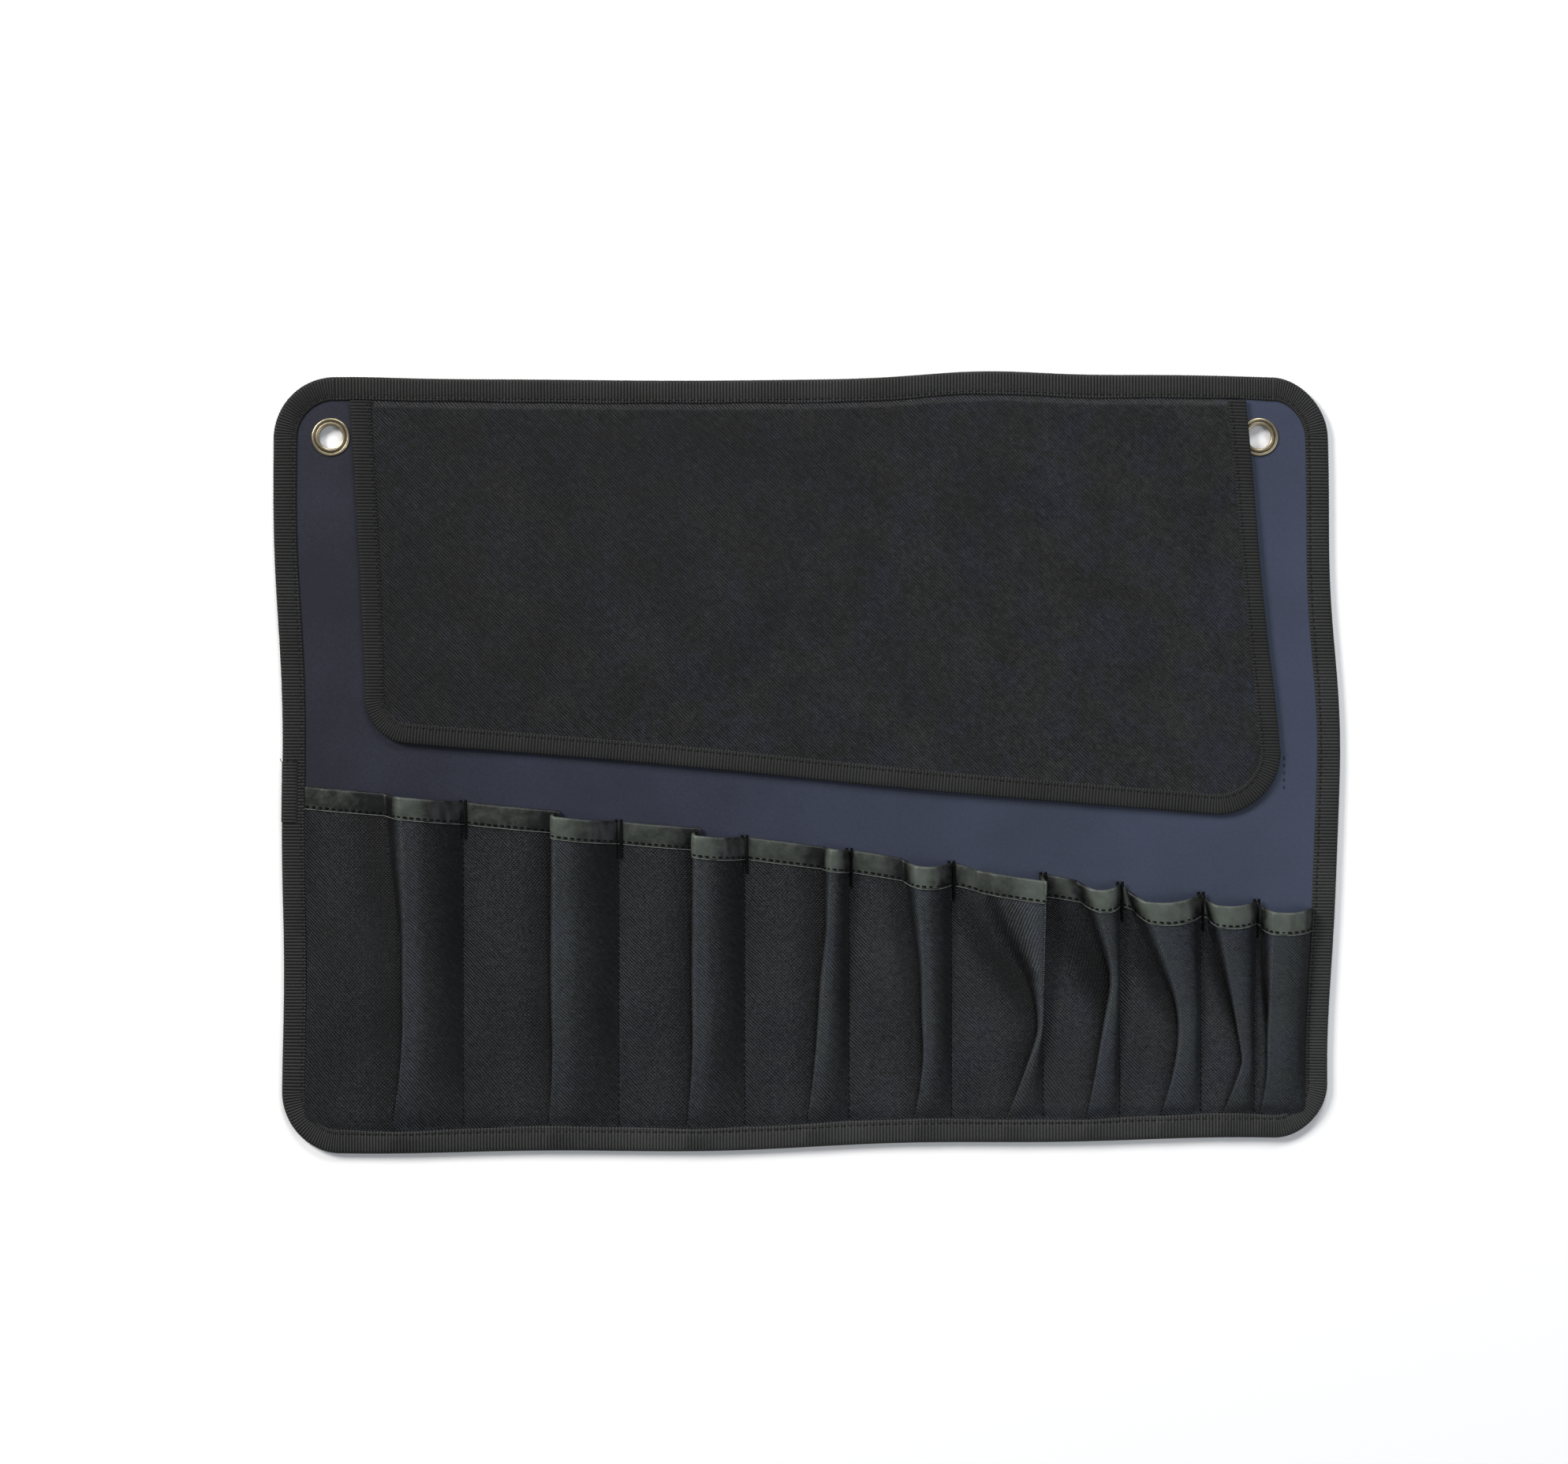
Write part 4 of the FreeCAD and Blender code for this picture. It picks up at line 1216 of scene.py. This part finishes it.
# Radius and height round each section, and how bright that place is rubbed.
FLANGE = [(5.5, 1.0), (5.5, 2.5), (5.62, 2.8), (5.95, 3.0), (6.4, 3.04), (6.85, 2.94), (7.15, 2.74),
          (7.45, 2.7), (7.75, 2.82), (8.15, 3.0), (8.5, 2.98), (8.85, 2.78), (9.0, 2.5), (8.9, 2.28),
          (8.6, 2.22), (6.15, 2.22), (6.1, 1.9), (6.1, 0.95), (5.85, 0.82), (5.6, 0.88)]
FLANGE_RIM = [0.3, 0.5, 0.9, 1.0, 0.7, 0.3, 0.0, 0.0, 0.3, 0.9, 1.0, 0.8, 0.5, 0.2, 0.1, 0.1, 0.1, 0.3,
              0.6, 0.4]
WASHER = [(6.15, 1.46), (8.8, 1.46), (9.0, 1.3), (8.95, 1.05), (8.6, 0.82), (8.0, 0.7), (7.2, 0.78),
          (6.6, 0.95), (6.15, 1.0)]
WASHER_RIM = [0.2, 0.2, 0.6, 0.9, 1.0, 0.8, 0.2, 0.2, 0.5]


def turned(name, centre, outline, rims, strip, node):
    """A ring of metal turned about an upright axis."""
    around = 112
    angles = np.linspace(0, 2 * math.pi, around, endpoint=False)
    cx, cy = drifted(centre.x, centre.y)
    rings = np.zeros((around, len(outline), 3))
    for k, (radius, z) in enumerate(outline):
        reach = radius + 0.03 * np.sin(angles * 5 + k) + 0.02 * np.sin(angles * 11)
        x, y = cx + reach * np.cos(angles), cy + reach * np.sin(angles)
        rings[:, k] = np.stack([x, y, np.full(around, z)], axis=1)
    faces = grid_faces(around, len(outline), wrap=True).tolist()
    columns = np.arange(len(outline))
    last = (around - 1) * len(outline)
    faces += [[last + a, last + b, b, a] for a, b in zip(columns, np.roll(columns, -1))]
    rim = np.repeat(np.array(rims)[None, :], around, axis=0)
    piece = add_piece(name, rings, faces, BRASS, extra={"rim": rim}, crease=60, loose=True)
    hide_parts(node)
    ride_strip(piece, strip)


for strip, side in ((1, "left"), (STRIPS, "right")):
    centre = centre_of(f"eyelet_{side}")
    turned(f"eyelet_flange_{side}", centre, FLANGE, FLANGE_RIM, strip, f"eyelet_{side}")
    turned(f"eyelet_back_{side}", centre, WASHER, WASHER_RIM, strip, f"eyelet_washer_{side}")


# Closure strap, under the case, with its fastener patches and the stitches that hold it.

def strap_sheet(name, node, material):
    """A length of strap or tape in place of its node, its long edges rounded."""
    low, high = (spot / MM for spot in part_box(node))
    across = np.linspace(low.x, high.x, int((high.x - low.x) / 2.5))
    up = np.concatenate([[0, 0.02, 0.05], np.linspace(0.1, 0.9, 9), [0.95, 0.98, 1]])
    x, t = np.meshgrid(across, up)
    y = low.y + t * (high.y - low.y) + 0.5 * np.sin(x / 37)
    sink = 0.35 * (1 - smooth(np.minimum(t, 1 - t), 0, 0.05)) * 0.4 * (high.z - low.z)
    top = np.stack([x, y, high.z - sink], axis=-1)
    under = np.stack([x, y, low.z + sink], axis=-1)
    piece = sheet(name, top, under, material)
    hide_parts(node)
    ride_strip(piece, STRIPS)
    return piece


WEBBING = webbing()
strap = strap_sheet("closure_webbing", "closure_strap", WEBBING)
hook = strap_sheet("hook_fastener", "hook_patch", pile("hook_tape", 1.6, (14, 14, 15), (58, 58, 60)))
loop = strap_sheet("loop_fastener", "loop_patch", pile("loop_tape", 0.9, (16, 16, 17), (70, 70, 74)))

strap_low, strap_high = (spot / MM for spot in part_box("closure_strap"))
box_right, box_left = strap_high.x - 3, strap_high.x - 22
box_low, box_high = strap_low.y + 3, strap_high.y - 3
corners = [(box_left, box_low), (box_right, box_low), (box_right, box_high), (box_left, box_high)]
cross = [corners + corners[:1], [corners[0], corners[2]], [corners[3], corners[1]]]
starts, ends = [], []
for path in cross:
    for (xa, ya), (xb, yb) in zip(path, path[1:]):
        a, b = run_of_stitches([(xa, ya, 0.3), (xb, yb, 0.3)], 2.8)
        starts += a.tolist()
        ends += b.tolist()
boxed = stitches("strap_box_stitching", starts, ends, 0.25, GREY_THREAD, lift=(0, 0, -1))
ride_strip(boxed, STRIPS)
y = np.linspace(strap_low.y + 4, strap_high.y - 4, 8)
line = np.stack([np.full_like(y, strap_high.x - 0.5), y, np.full_like(y, PANEL_TOP + 0.12)], axis=1)
starts, ends = run_of_stitches(line, 3.0, 0.6)
seen = stitches("strap_seam_stitching", starts, ends, 0.3, NAVY_THREAD)
ride_strip(seen, STRIPS)


# Floor, light and camera.

def floor():
    size = 3.0
    corners = [(-size, -size, 0), (size, -size, 0), (size, size, 0), (-size, size, 0)]
    mesh = bpy.data.meshes.new("floor")
    mesh.from_pydata(corners, [], [(0, 1, 2, 3)])
    mesh.materials.append(plain_floor())
    plane = bpy.data.objects.new("floor", mesh)
    plane.location.z = -0.0003
    bpy.context.scene.collection.objects.link(plane)


def area_light(name, place, aim, size, watts, colour):
    data = bpy.data.lights.new(name, "AREA")
    data.shape = "RECTANGLE"
    data.size, data.size_y = size
    data.energy = watts
    data.color = colour
    lamp = bpy.data.objects.new(name, data)
    lamp.location = place
    lamp.rotation_euler = (Vector(aim) - Vector(place)).to_track_quat("-Z", "Y").to_euler()
    bpy.context.scene.collection.objects.link(lamp)


def studio():
    world = bpy.data.worlds.new("studio")
    world.use_nodes = True
    sky = world.node_tree.nodes["Background"]
    sky.inputs["Color"].default_value = (0.94, 0.97, 1.0, 1)
    sky.inputs["Strength"].default_value = 0.16
    bpy.context.scene.world = world
    area_light("key", (-2.3, 1.7, 1.75), (0, 0, 0), (1.1, 1.1), 128, (1, 0.985, 0.96))
    area_light("top", (0.3, 2.5, 1.5), (0, 0, 0), (1.2, 0.8), 50, (1, 1, 1))
    area_light("fill", (1.8, -0.7, 2.0), (0, 0, 0), (1.6, 1.6), 26, (0.9, 0.95, 1))


def camera():
    """A camera straight above, whose frame is seen_width wide at the height of the tape."""
    height, tape_top = 1.7, 0.003
    seen_width = 0.7356
    sensor = 36
    data = bpy.data.cameras.new("camera")
    data.sensor_width = sensor
    data.lens = sensor * (height - tape_top) / seen_width
    eye = bpy.data.objects.new("camera", data)
    eye.location = (-0.0115, 0.0146, height)
    bpy.context.scene.collection.objects.link(eye)
    bpy.context.scene.camera = eye


floor()
studio()
camera()
bpy.context.scene.view_settings.view_transform = "Standard"
